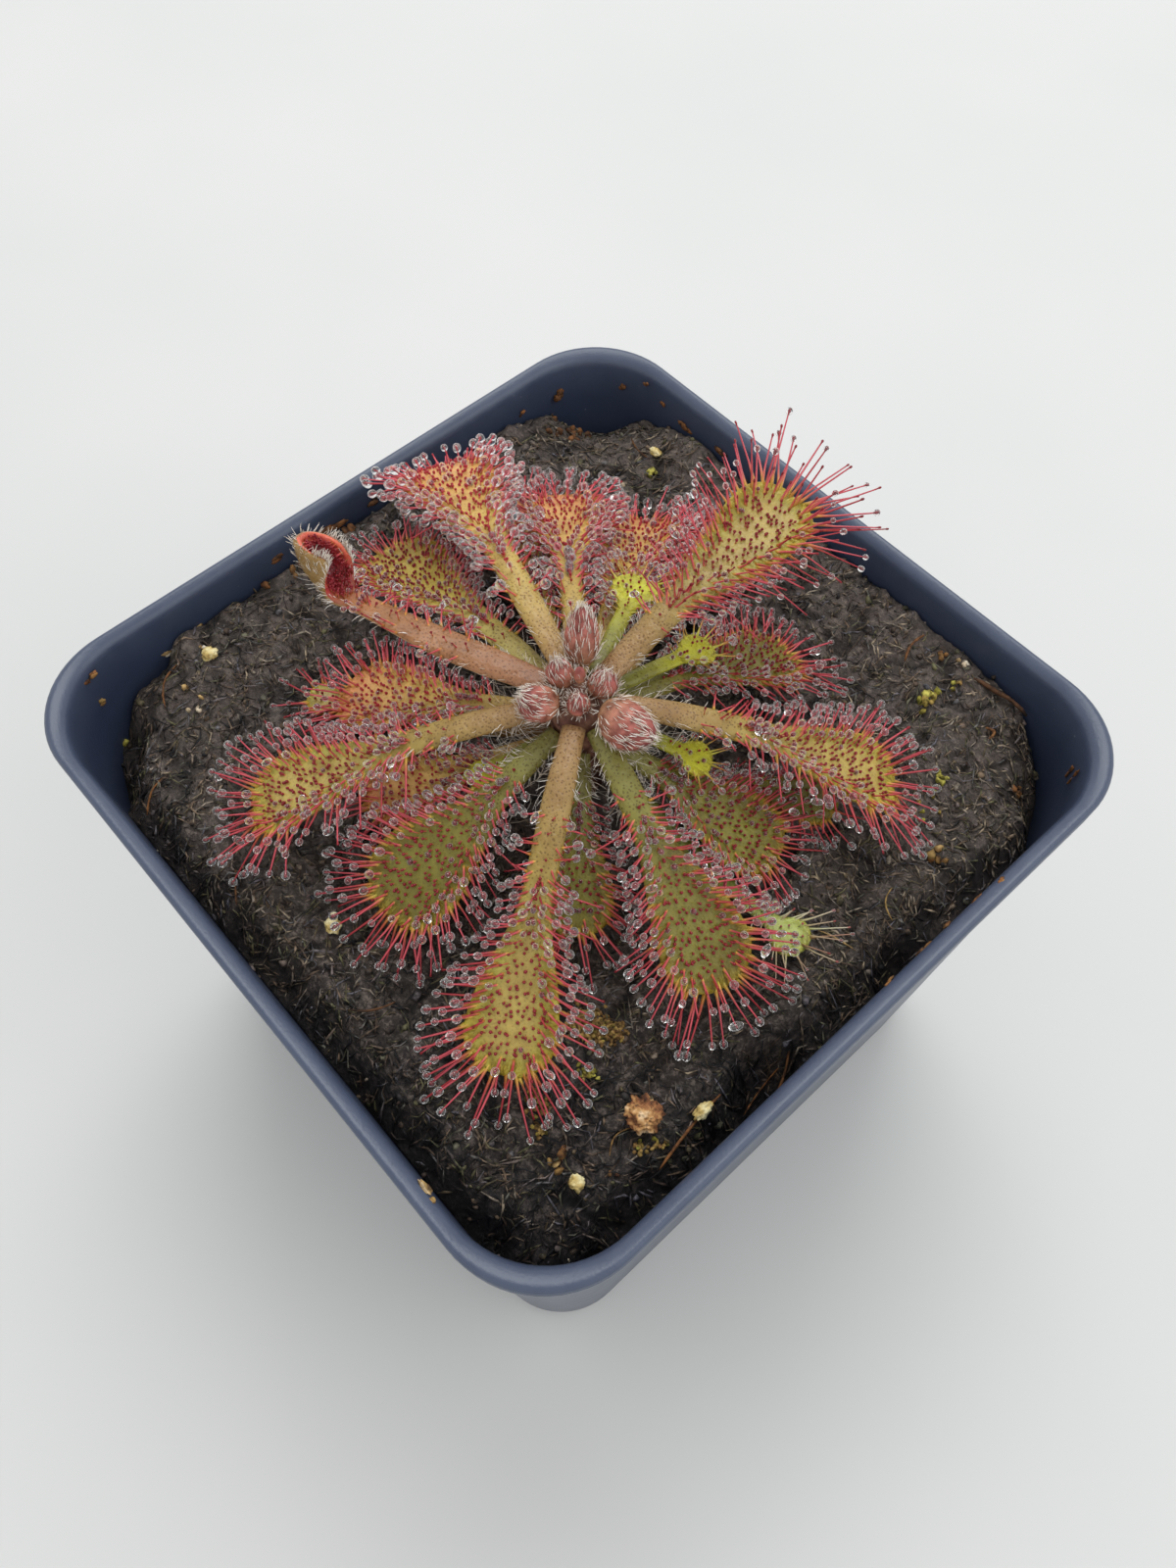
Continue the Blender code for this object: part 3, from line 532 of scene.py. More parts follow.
# peat fibre, dried at its ends: hair-fine strands from black-brown to straw
peatFibre = rampedMaterial(
    "peat fibre",
    ("tone", [(0.0, "18181C"), (0.16, "3A3434"), (0.32, "6C5848"), (0.44, "6C6A4A"), (0.56, "716E78"),
              (0.70, "8A745E"), (0.84, "968C80"), (1.0, "B4A288")]),
    (("TexNoise", {"Scale": 1800.0, "Detail": 2.0}), [(0.35, "5A5A5A"), (0.65, "FFFFFF")]),
    Roughness=0.72, IOR=1.45)
fibres = {
    "count": 12000,
    "bare": 7.0,  # radius round the crown that has none
    "shortest": 0.8,
    "longest": 3.0,
    "radius": 0.105,
    "tapers": (0.5, 1.0, 0.3),
}


def scatter(draw, margin, bare):
    # a place on the open compost, or none
    x, y = draw.uniform(-36, 36), draw.uniform(-36, 36)
    clear = inPot(x, y, margin) and math.hypot(x - crown["x"], y - crown["y"]) >= bare
    return (x, y) if clear else None


draw = random.Random(11)
strandShape = tubeTemplate("strand", 3, len(fibres["tapers"]))
work = bmesh.new()
made = 0
while made < fibres["count"]:
    found = scatter(draw, 0.3, fibres["bare"])
    if not found:
        continue
    x, y = found
    length = fibres["shortest"] + (fibres["longest"] - fibres["shortest"]) * draw.random() ** 2.2
    heading = 3.5 * noise.noise(Vector((x, y, 60)) / 7) + draw.gauss(0, 1.2)
    bend = draw.gauss(0, 0.7)
    lift, slant = draw.uniform(-0.05, 0.22), draw.gauss(0, 0.22)
    points, px, py = [], x, y
    for share in (0, 0.5, 1):
        arch = 0.10 * math.sin(math.pi * share)
        points.append(Vector((px, py, compostHeight(px, py) + lift + slant * share + arch)))
        heading += bend * length / 2
        px, py = px + math.cos(heading) * length / 2, py + math.sin(heading) * length / 2
    if not all(inPot(point.x, point.y, 0.7) for point in points):
        continue
    radius = fibres["radius"] * draw.uniform(0.5, 1.3)
    olive = noise.noise(Vector((x, y, 40)) / 11)
    # darker towards the near corner; darker in the hollows, as painted shade; paler at the right, as painted
    # light against the shade by the right wall
    dim = 0.28 * smoothstep(28, 62, x - y) - 0.25 * clods(x, y) - 0.06
    dim -= 0.18 * smoothstep(8, 34, x) * smoothstep(-16, 12, y)
    tone = min(max(draw.betavariate(1.5, 1.9) + 0.20 * olive - dim, 0), 1)
    radii = [radius * taper for taper in fibres["tapers"]]
    addTube(work, strandShape, pathThrough(points), radii, (0, 0.5, 1), tone)
    made += 1
newPiece("peat_fibres", work, peatFibre)
print("compost and its fibres made")


# Bits on the compost

# expanded clay and pumice, crushed: pale brown, rough with open pores of 0.3 mm, painted dark inside as
# painted shade
pores = ("TexVoronoi", {"Scale": 2600.0})
crushedPumice = rampedMaterial(
    "crushed pumice",
    (("TexNoise", {"Scale": 900.0, "Detail": 5.0}),
     [(0.32, "442618"), (0.46, "8E5C38"), (0.58, "C49660"), (0.70, "E6C8A0")]),
    (pores, [(0.0, "4E3426"), (0.4, "FFFFFF")]), (pores, 0.8, 0.2), Roughness=0.9, IOR=1.5)

# limestone grit, crushed: cream with yellow and dull brown stains
cloud = ("TexNoise", {"Scale": 1100.0, "Detail": 5.0})
limeGrit = rampedMaterial(
    "crushed limestone grit", (cloud, [(0.30, "7A6233"), (0.45, "C8AE6A"), (0.62, "EADFAE")]),
    relief=(cloud, 0.6, 0.2), Roughness=0.8, IOR=1.5)

# how finely a stone is made, how its swells, bulges and chips run, and its share of the CAD's width
stoneForms = {
    "pumice": {"finish": crushedPumice, "cuts": 5, "pitch": 1.25, "bulge": 0.42, "chip": 0.20, "wide": 1.22},
    "grit": {"finish": limeGrit, "cuts": 4, "pitch": 1.9, "bulge": -0.12, "chip": -0.03, "wide": 1.0},
}
stones = ("pumice_piece", "grit_front", "grit_left", "grit_tan", "grit_back", "grit_far_left")
for number, node in enumerate(stones):
    slot = node.split("_")[0]
    form = stoneForms[slot]
    low, high = (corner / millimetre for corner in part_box(node))
    work = bmesh.new()
    bmesh.ops.create_icosphere(work, subdivisions=form["cuts"], radius=1.0)
    for vert in work.verts:
        spot = vert.co * form["pitch"] + Vector((number * 7.0, 0, 0))
        swell = 0.32 * noise.fractal(spot, 0.7, 2.0, 4)
        swell += form["bulge"] * abs(noise.noise(spot * 2.3))
        swell += form["chip"] * abs(noise.noise(spot * 6.0))
        vert.co *= 1 + swell
    reach = [max(abs(vert.co[axis]) for vert in work.verts) for axis in range(3)]
    for vert in work.verts:
        vert.co = [(low[a] + high[a]) / 2 + vert.co[a] / reach[a] * (high[a] - low[a]) / 2
                   * (form["wide"] if a < 2 else 1.0) for a in range(3)]
    newPiece(f"{node}_stone", work, form["finish"], node)

# bark, twigs and husks in the mix: weathered brown wood with long dark streaks
weatheredBark = rampedMaterial(
    "weathered bark and husk",
    ("tone", [(0.0, "3A2618"), (0.3, "6A4526"), (0.5, "8A5A30"), (0.7, "A0824C"), (0.85, "C9A870"),
              (1.0, "E6DCC8")]),
    (("TexNoise", {"Scale": 1500.0, "Detail": 4.0}), [(0.35, "6A5F58"), (0.6, "FFFFFF")]),
    Roughness=0.8, IOR=1.45)

# x, y, x, y of the ends, radius and tone; each twig lies on the compost
twigs = (
    (33.4, -20.6, 32.4, -12.6, 0.13, 0.50), (30.0, -23.0, 29.5, -20.2, 0.08, 0.62),
    (-23.2, -34.0, -25.0, -30.4, 0.12, 0.44), (-30.0, -26.5, -33.0, -23.0, 0.10, 0.40),
    (32.0, -3.5, 35.4, -8.6, 0.14, 0.34), (33.6, -5.0, 34.4, -11.0, 0.08, 0.5),
    (20.6, 33.4, 26.5, 34.6, 0.26, 0.15), (14.0, 33.8, 14.6, 30.4, 0.14, 0.35),
    (-22.0, 30.5, -26.0, 31.5, 0.10, 0.3), (28.0, 4.0, 31.5, 5.0, 0.07, 0.8),
    (24.6, 31.0, 25.6, 30.4, 0.16, 0.52), (29.6, 12.0, 31.8, 9.6, 0.07, 0.72),
    (6.0, -31.5, 8.2, -28.0, 0.10, 0.2), (-12.0, -31.0, -9.0, -33.0, 0.09, 0.3),
)
draw = random.Random(5)
twigRings = 9
twigShape = tubeTemplate("twig", 6, twigRings)
work = bmesh.new()
for ax, ay, bx, by, radius, tone in twigs:
    side = Vector((ay - by, bx - ax, 0)).normalized() * draw.uniform(-0.7, 0.7)
    shares = [ring / (twigRings - 1) for ring in range(twigRings)]
    points = []
    for share in shares:
        arch = math.sin(math.pi * share)
        spot = Vector((ax, ay, 0)).lerp(Vector((bx, by, 0)), share) + side * arch
        spot.z = compostHeight(spot.x, spot.y) + radius * 1.6 + 0.25 * arch
        points.append(spot)
    level = sum(point.z for point in points) / twigRings
    for point in points:
        point.z = level + (point.z - level) * 0.45 + 0.2
    radii = [radius * draw.uniform(0.75, 1.15) * (0.45 if share in (0, 1) else 1) for share in shares]
    addTube(work, twigShape, pathThrough(points), radii, shares, tone)

crumbShape = ballTemplate("crumb", 2)
looseShape = ballTemplate("loose_crumb", 1)


def addCrumb(work, centre, size, tone, draw, rough=0.35, shape=crumbShape):
    # an angular grain, flattened and turned at random
    seed = Vector([draw.uniform(0, 50) for _ in range(3)])
    turned = Matrix.Rotation(draw.uniform(0, math.tau), 3, anyDirection(draw))
    coords = []
    for place in shape[1]:
        swell = 1 + rough * noise.noise(place * 1.4 + seed) + rough * noise.noise(place * 3.1 + seed)
        coords.extend(centre + turned @ Vector([a * b for a, b in zip(place, size)]) * swell)
    stamp(work, shape, coords, tone)


# x, y, z, size and tone of husks and crumbs caught on the walls and the rim
wallBits = (
    (23.6, -35.9, 64.5, (1.3, 0.35, 0.16), 0.80), (24.6, -36.1, 64.5, (0.5, 0.3, 0.2), 0.72),
    (-35.2, 28.8, 61.0, (0.55, 0.9, 0.9), 0.35), (-35.7, 23.6, 61.2, (0.3, 0.6, 0.5), 0.45),
    (-30.8, 34.5, 61.6, (0.7, 0.35, 0.5), 0.36), (-21.5, 35.5, 61.5, (1.2, 0.3, 0.6), 0.42),
    (-25.5, 35.5, 62.4, (0.5, 0.25, 0.4), 0.48), (-28.0, 35.4, 63.4, (0.4, 0.25, 0.3), 0.4),
    (-12.0, 35.5, 60.6, (1.1, 0.35, 0.5), 0.40), (-16.5, 35.5, 62.0, (1.2, 0.3, 0.5), 0.30),
    (-35.6, -2.0, 62.4, (0.45, 2.3, 0.7), 0.40), (-35.7, -8.5, 62.6, (0.3, 1.2, 0.5), 0.30),
    (-35.4, 3.2, 62.2, (0.4, 1.0, 0.6), 0.24), (-35.5, -22.9, 59.6, (0.4, 0.8, 0.4), 0.92),
    (-35.6, -18.8, 60.2, (0.35, 0.7, 0.35), 0.85), (-34.3, -30.8, 60.2, (0.5, 0.7, 0.5), 0.70),
    (35.9, 3.0, 63.9, (0.2, 0.8, 0.3), 0.50), (35.8, 7.2, 63.4, (0.25, 1.0, 0.4), 0.46),
    (35.8, 10.5, 63.6, (0.25, 0.7, 0.4), 0.52), (36.0, 14.2, 64.0, (0.25, 0.9, 0.3), 0.44),
    (36.4, 16.5, 64.6, (0.3, 0.6, 0.2), 0.5), (33.8, 31.7, 61.8, (0.2, 0.2, 1.2), 0.45),
    (33.1, 32.5, 60.6, (0.2, 0.2, 1.0), 0.4), (-34.8, -30.4, 63.6, (0.3, 0.8, 0.4), 0.5),
    (34.3, -31.2, 63.2, (0.1, 0.1, 0.7), 0.95),
)
draw = random.Random(29)
for x, y, z, size, tone in wallBits:
    for _ in range(3):
        centre = Vector((x, y, z)) + Vector([draw.gauss(0, 0.35) * value for value in size])
        seed = Vector([draw.uniform(0, 50) for _ in range(3)])
        coords = []
        for place in crumbShape[1]:
            swell = 0.75 + 0.5 * noise.noise(place * 1.5 + seed)
            coords.extend(centre + Vector([a * b * 0.7 for a, b in zip(place, size)]) * swell)
        stamp(work, crumbShape, coords, tone + draw.uniform(-0.1, 0.1))

# x, y, count, spread, size and tone of loose clusters on the compost
clusters = (
    (-32.0, 28.6, 14, 1.6, 0.5, 0.35), (-29.0, -24.6, 4, 1.0, 0.4, 0.86),
    (-31.2, -21.0, 3, 0.8, 0.4, 0.95), (16.8, 33.6, 4, 0.4, 0.4, 0.62),
    (27.2, -26.4, 5, 0.5, 0.5, 0.55), (31.3, -23.8, 2, 0.3, 0.3, 0.5),
    (30.8, 30.0, 5, 0.5, 0.45, 0.5), (18.6, 34.2, 3, 0.4, 0.4, 0.9),
    (-34.0, -5.0, 16, 2.6, 0.6, 0.42), (30.0, 17.4, 6, 0.5, 0.5, 0.66),
)
for x, y, count, spread, size, tone in clusters:
    for _ in range(count):
        px, py = x + draw.gauss(0, spread), y + draw.gauss(0, spread)
        if not inPot(px, py, 0.5):
            continue
        grain = [size * draw.uniform(0.4, 1.0) for _ in range(3)]
        centre = Vector((px, py, compostHeight(px, py) + 0.15))
        addCrumb(work, centre, grain, min(max(tone + draw.gauss(0, 0.1), 0), 1), draw)
newPiece("bark_and_husks", work, weatheredBark)

# peat crumbs, sieved: dark grains up to 1 mm that break the surface's outline
looseCrumbs = {"count": 2000, "smallest": 0.14, "range": 0.36}
work = bmesh.new()
made = 0
while made < looseCrumbs["count"]:
    found = scatter(draw, 0.4, fibres["bare"])
    if not found:
        continue
    x, y = found
    size = looseCrumbs["smallest"] + looseCrumbs["range"] * draw.random() ** 1.7
    centre = Vector((x, y, compostHeight(x, y) + size * 0.1))
    flat = Vector([draw.uniform(0.4, 1.2) for _ in range(3)]) * size
    coords = []
    for place in looseShape[1]:
        coords.extend(centre + Vector([a * b for a, b in zip(place, flat)]) * draw.uniform(0.5, 1.4))
    tone = draw.betavariate(1.8, 2.2) * (1.0 - 0.25 * smoothstep(20, 60, x - y))
    stamp(work, looseShape, coords, tone)
    made += 1
newPiece("peat_crumbs", work, peatFibre)

# moss and algae on the compost: dull gold-green grains, soft and matt
dryMoss = rampedMaterial(
    "dry moss",
    ("tone", [(0.0, "4A3420"), (0.3, "8A683E"), (0.5, "B29256"), (0.65, "A08C44"), (0.8, "96903A"),
              (1.0, "C8C060")]),
    (("TexNoise", {"Scale": 2200.0, "Detail": 3.0}), [(0.35, "7A7A6A"), (0.6, "FFFFFF")]),
    Roughness=0.85, IOR=1.4)

# x, y, count, spread, size and tone of each tuft
tufts = (
    (20.2, -17.2, 240, 0.66, 0.30, 0.34), (21.4, -16.6, 190, 0.60, 0.28, 0.36),
    (22.7, -15.6, 90, 0.45, 0.26, 0.32), (23.6, -19.6, 26, 0.35, 0.30, 0.8),
    (23.0, -24.6, 60, 0.55, 0.28, 0.42), (24.6, -25.6, 20, 0.35, 0.28, 0.5),
    (31.2, -20.8, 14, 0.35, 0.28, 0.55), (32.0, -19.2, 10, 0.3, 0.26, 0.55),
    (18.8, 29.2, 12, 0.5, 0.5, 0.85), (24.8, 24.0, 7, 0.5, 0.4, 0.8), (20.0, 32.0, 5, 0.4, 0.35, 0.8),
    (-20.6, 29.6, 6, 0.3, 0.5, 1.0), (-34.4, -30.8, 8, 0.5, 0.5, 0.72),
    (16.0, -22.0, 8, 0.7, 0.35, 0.4), (26.0, 21.0, 6, 0.8, 0.35, 0.7),
)
work = bmesh.new()
for x, y, count, spread, size, tone in tufts:
    for _ in range(count):
        px, py = x + draw.gauss(0, spread), y + draw.gauss(0, spread)
        pile = max(1 - math.hypot(px - x, py - y) / (2.2 * spread), 0) * draw.random()
        grain = [size * draw.uniform(0.5, 1.0) for _ in range(3)]
        centre = Vector((px, py, compostHeight(px, py) + 0.1 + 1.1 * spread * pile))
        shade = min(max(tone + draw.gauss(0, 0.16), 0), 1)
        addCrumb(work, centre, grain, shade, draw, 0.7, looseShape)
newPiece("moss", work, dryMoss)
print("stones, bark and moss made")


# Leaves

# name: direction, height at the stem over the rim, length, slope at the stem, slope where the
# tip starts, slope at the tip, share of the length before the tip, blade width, stalk width,
# roll, cupping, margin gland length, tissue
leaves = {
    "leaf_front": (-53.8, 6.8, 29.6, -6, -30, -36, 0.85, 8.0, 2.6, 0, 0.10, 4.2, "tan"),
    "leaf_front_right": (-15.4, 6.2, 24.5, -10, -32, -34, 0.85, 8.2, 2.6, 4, 0.08, 4.2, "green"),
    "leaf_right": (42.0, 6.6, 27.5, -6, -29, -34, 0.85, 8.0, 2.6, -4, 0.12, 4.2, "tan"),
    "leaf_raised": (92.6, 7.4, 24.1, 16, 7, -4, 0.80, 8.2, 2.8, 6, 0.16, 5.4, "tan"),
    "leaf_back_left": (163.9, 7.0, 31.9, 9, -14, -66, 0.82, 9.4, 2.6, 4, -0.05, 3.6, "red"),
    "leaf_upper_left": (179.9, 5.2, 27.2, -2, -18, -26, 0.85, 8.8, 2.4, 4, 0.06, 3.2, "lime"),
    "leaf_left": (-121.4, 6.4, 28.7, -5, -27, -34, 0.85, 8.2, 2.6, 4, 0.10, 4.4, "tan"),
    "leaf_front_left": (-87.4, 4.6, 21.9, -8, -33, -38, 0.85, 9.2, 2.4, -6, 0.06, 4.0, "green"),
    "leaf_unfurling": (-155.4, 7.2, 27.1, 2, 6, 78, 0.74, 8.2, 3.0, 27, 0.0, 2.4, "pink"),
    "leaf_right_back": (78.6, 3.6, 21.6, -4, -26, -34, 0.80, 8.0, 2.4, -6, 0.02, 3.8, "green"),
    "leaf_right_low": (18.5, 2.4, 18.4, -16, -22, -26, 0.80, 8.0, 2.2, 0, 0.05, 3.4, "green"),
    "leaf_right_under": (30.5, 0.4, 21.4, -22, -4, 20, 0.85, 4.4, 1.8, 30, 0.10, 2.6, "green"),
    "leaf_front_under": (-43.4, 2.6, 16.0, -20, -26, -26, 0.80, 6.6, 2.2, 0, 0.05, 3.6, "green"),
    "leaf_back_upper": (141.9, 4.6, 27.4, 2, -18, -30, 0.80, 7.6, 2.2, 0, 0.04, 3.8, "red"),
    "leaf_back_middle": (125.9, 3.0, 28.2, 0, -20, -48, 0.80, 8.8, 2.2, -4, 0.04, 3.8, "red"),
    "leaf_back_under": (151.9, 1.6, 30.5, -6, -14, -18, 0.80, 8.4, 2.2, 0, 0.04, 3.8, "red"),
    "leaf_back_right": (108.8, 2.0, 28.3, -8, -15, -18, 0.80, 8.2, 2.2, 0, 0.04, 3.8, "red"),
    "leaf_left_low": (-149.2, 3.4, 22.1, -14, -21, -24, 0.80, 8.0, 2.2, 0, 0.05, 3.6, "red"),
    "leaf_left_under": (-119.3, 1.2, 18.1, -17, -18, -14, 0.80, 6.8, 2.0, 0, 0.05, 3.2, "red"),
    "small_leaf_back": (117.8, 6.0, 13.9, -4, -12, -16, 0.75, 5.0, 1.6, 0, 0.04, 2.4, "pale"),
    "small_leaf_right": (83.6, 5.6, 11.9, -8, -16, -16, 0.75, 3.8, 1.5, 0, 0.04, 2.2, "pale"),
    "small_leaf_front_right": (32.5, 4.8, 9.8, -20, -26, -20, 0.75, 3.6, 1.5, 0, 0.04, 1.8, "pale"),
    "small_leaf_front_left": (-105.4, 3.0, 8.4, -12, -20, -20, 0.75, 3.2, 1.4, 0, 0.04, 2.2, "pale"),
    "small_leaf_left": (-149.2, 0.6, 26.1, -32, 0, 10, 0.85, 3.8, 1.5, 0, 0.04, 2.6, "tan"),
    "small_leaf_far_right": (4.6, 0.8, 24.8, -30, 0, 8, 0.85, 4.0, 1.5, 0, 0.04, 2.8, "dull"),
}
blade = {
    "rows": 60,
    "cells": 16,
    "furledRows": 24,  # more of them where the blade is rolled
    "narrow": 3,  # half width under which a leaf is made with half the rows
    "stalkThick": 1.25,
    "middleThick": 0.8,
    "edgeThick": 0.62,
    "length": 3.9,  # length over which the stalk widens, in half widths
    "smallLength": 2.1,
    "roundEnd": 0.9,
    "edgeRound": 0.42,
    "pebble": 0.05,
    "crowding": 1.35,
    "furlRadius": 1.9,  # of the blade that is still rolled in from both sides
}


class Leaf:
    # a midrib of two arcs and a blade like a spatula, with the CAD solid's own numbers

    def __init__(self, name, row):
        self.name = name
        direction, self.base, self.length, start, bend, tip, self.split = row[:7]
        width, stalk, roll, self.cup, self.needle, self.tissue = row[7:]
        self.direction = math.radians(direction)
        self.slopes = [math.radians(slope) for slope in (start, bend, tip)]
        self.half, self.stalk, self.roll = width / 2, stalk / 2, math.radians(roll)
        self.narrow = self.half < blade["narrow"]
        widening = blade["smallLength"] if name.startswith("small") else blade["length"]
        self.bladeStart = max(0.25, 1 - widening * self.half / self.length)
        self.widest = 1 - blade["roundEnd"] * self.half / self.length
        self.seed = random.Random(name).uniform(0, 90)
        self.furled = self.tissue == "pink"
        if self.furled:
            self.bladeStart = self.split - 0.04

    def midrib(self, u):
        reach, height = crown["radius"] + crown["gap"], self.base
        slope = self.slopes[0]
        spans = ((0.0, self.split), (self.split, 1.0))
        for (low, high), first, last in zip(spans, self.slopes, self.slopes[1:]):
            if u <= low:
                break
            slope = first + (last - first) * (min(u, high) - low) / (high - low)
            arc = (min(u, high) - low) * self.length
            bend = slope - first
            if abs(bend) < 1e-6:
                reach, height = reach + arc * math.cos(first), height + arc * math.sin(first)
            else:
                reach += arc * (math.sin(slope) - math.sin(first)) / bend
                height += arc * (math.cos(first) - math.cos(slope)) / bend
        return reach, height, slope

    def halfWidth(self, u):
        if u > self.widest:
            along = (u - self.widest) / (1 - self.widest)
            return self.half * math.sqrt(max(1 - 0.99 * along * along, 0.003))
        stalk = self.stalk * (0.8 + 0.2 * smoothstep(0, 0.25, u))
        return stalk + (self.half - stalk) * smoothstep(self.bladeStart, self.widest, u)

    def inset(self, u, v):
        return min(self.halfWidth(u) * (1 - abs(v)), (1 - u) * self.length)

    def thickness(self, u, v):
        thin = smoothstep(0.3, 0.6, u)
        middle = blade["stalkThick"] + (blade["middleThick"] - blade["stalkThick"]) * thin
        middle *= min(1.0, self.stalk)
        thick = max(blade["edgeThick"], middle - (middle - blade["edgeThick"]) * v * v)
        # the edge closes in a round
        near = 1 - min(self.inset(u, v) / blade["edgeRound"], 1)
        return thick * math.sqrt(max(1 - near * near, 0))

    def axes(self, u):
        reach, height, slope = self.midrib(u)
        outward = Vector((math.cos(self.direction), math.sin(self.direction), 0))
        across = Vector((-outward.y, outward.x, 0))
        along = outward * math.cos(slope) + Vector((0, 0, math.sin(slope)))
        base = outward * (crown["radius"] + crown["gap"]) + Vector((0, 0, self.base))
        point = outward * reach + Vector((0, 0, height))
        turned = Matrix.Rotation(self.roll * smoothstep(0.3, 0.7, u), 3, outward)
        along, across = turned @ along, turned @ across
        point = base + turned @ (point - base) + Vector((crown["x"], crown["y"], pot["height"]))
        return point, along, across, along.cross(across)

    def rolled(self, u, v):
        # how far the unfurling blade has turned at a place, and how tightly it bends there
        bend = smoothstep(self.bladeStart, self.split + 0.1, u) / blade["furlRadius"] + 1e-6
        return v * self.halfWidth(u) * bend, bend

    def facing(self, u, v):
        # the directions along, across and out of the blade at a place
        _, along, across, up = self.axes(u)
        if self.furled:
            turned = Matrix.Rotation(self.rolled(u, v)[0], 3, along)
            across, up = turned @ across, turned @ up
        return along, across, up

    def surface(self, u, v, level=0.0, lift=0.0):
        point, along, across, up = self.axes(u)
        if self.furled:
            turn, bend = self.rolled(u, v)
            point = point + across * (math.sin(turn) / bend) + up * ((1 - math.cos(turn)) / bend)
            up = up * math.cos(turn) - across * math.sin(turn)
        else:
            half = self.halfWidth(u)
            curl = self.cup * smoothstep(self.bladeStart, self.widest, u)
            point = point + across * (v * half * (1 - 0.3 * abs(curl) * v * v))
            point += up * (curl * half * v * v * 1.2)
        return point + up * (level * self.thickness(u, v) / 2 + lift)


# tissue: ramp along the leaf, colour at the margin, colour of the underside, material slot
tissues = {
    "tan": ([(0.0, "927652"), (0.22, "947E48"), (0.45, "A29646"), (0.70, "AEA64E"), (0.90, "B6AC4E")],
            "CCC044", "A28050", "tan_leaf"),
    "green": ([(0.0, "84804A"), (0.25, "868240"), (0.5, "847E34"), (0.8, "807A2E"), (0.95, "7E762C")],
              "BEAE44", "94883E", "green_leaf"),
    "lime": ([(0.0, "A09458"), (0.3, "B4A65C"), (0.6, "C0AE54"), (0.9, "C4AC54")],
             "D6C652", "9A8A48", "green_leaf"),
    "red": ([(0.0, "A8885C"), (0.3, "B8A454"), (0.6, "D2B65A"), (0.85, "E2B064"), (0.97, "EA9E70")],
            "ECA864", "A4603E", "red_leaf"),
    "pale": ([(0.0, "76743A"), (0.4, "8E8E38"), (0.7, "C4C43A"), (0.95, "CCCC3E")],
             "D8D650", "A4A63A", "small_leaf"),
    "dull": ([(0.0, "8C9450"), (0.5, "9CA852"), (0.9, "A6B258")], "BCC470", "8A9450", "small_leaf"),
    "pink": ([(0.0, "986C50"), (0.3, "A0724E"), (0.6, "A4744C"), (0.72, "B87C56"), (0.9, "AC6A42")],
             "BC9660", "B08C66", "unfurling_leaf"),
}
ownSlots = {"leaf_back_left": "tan_leaf", "leaf_back_upper": "green_leaf", "small_leaf_left": "small_leaf"}
bladeLayers = ("along", "side", "face", "around")
leafTissue = {}
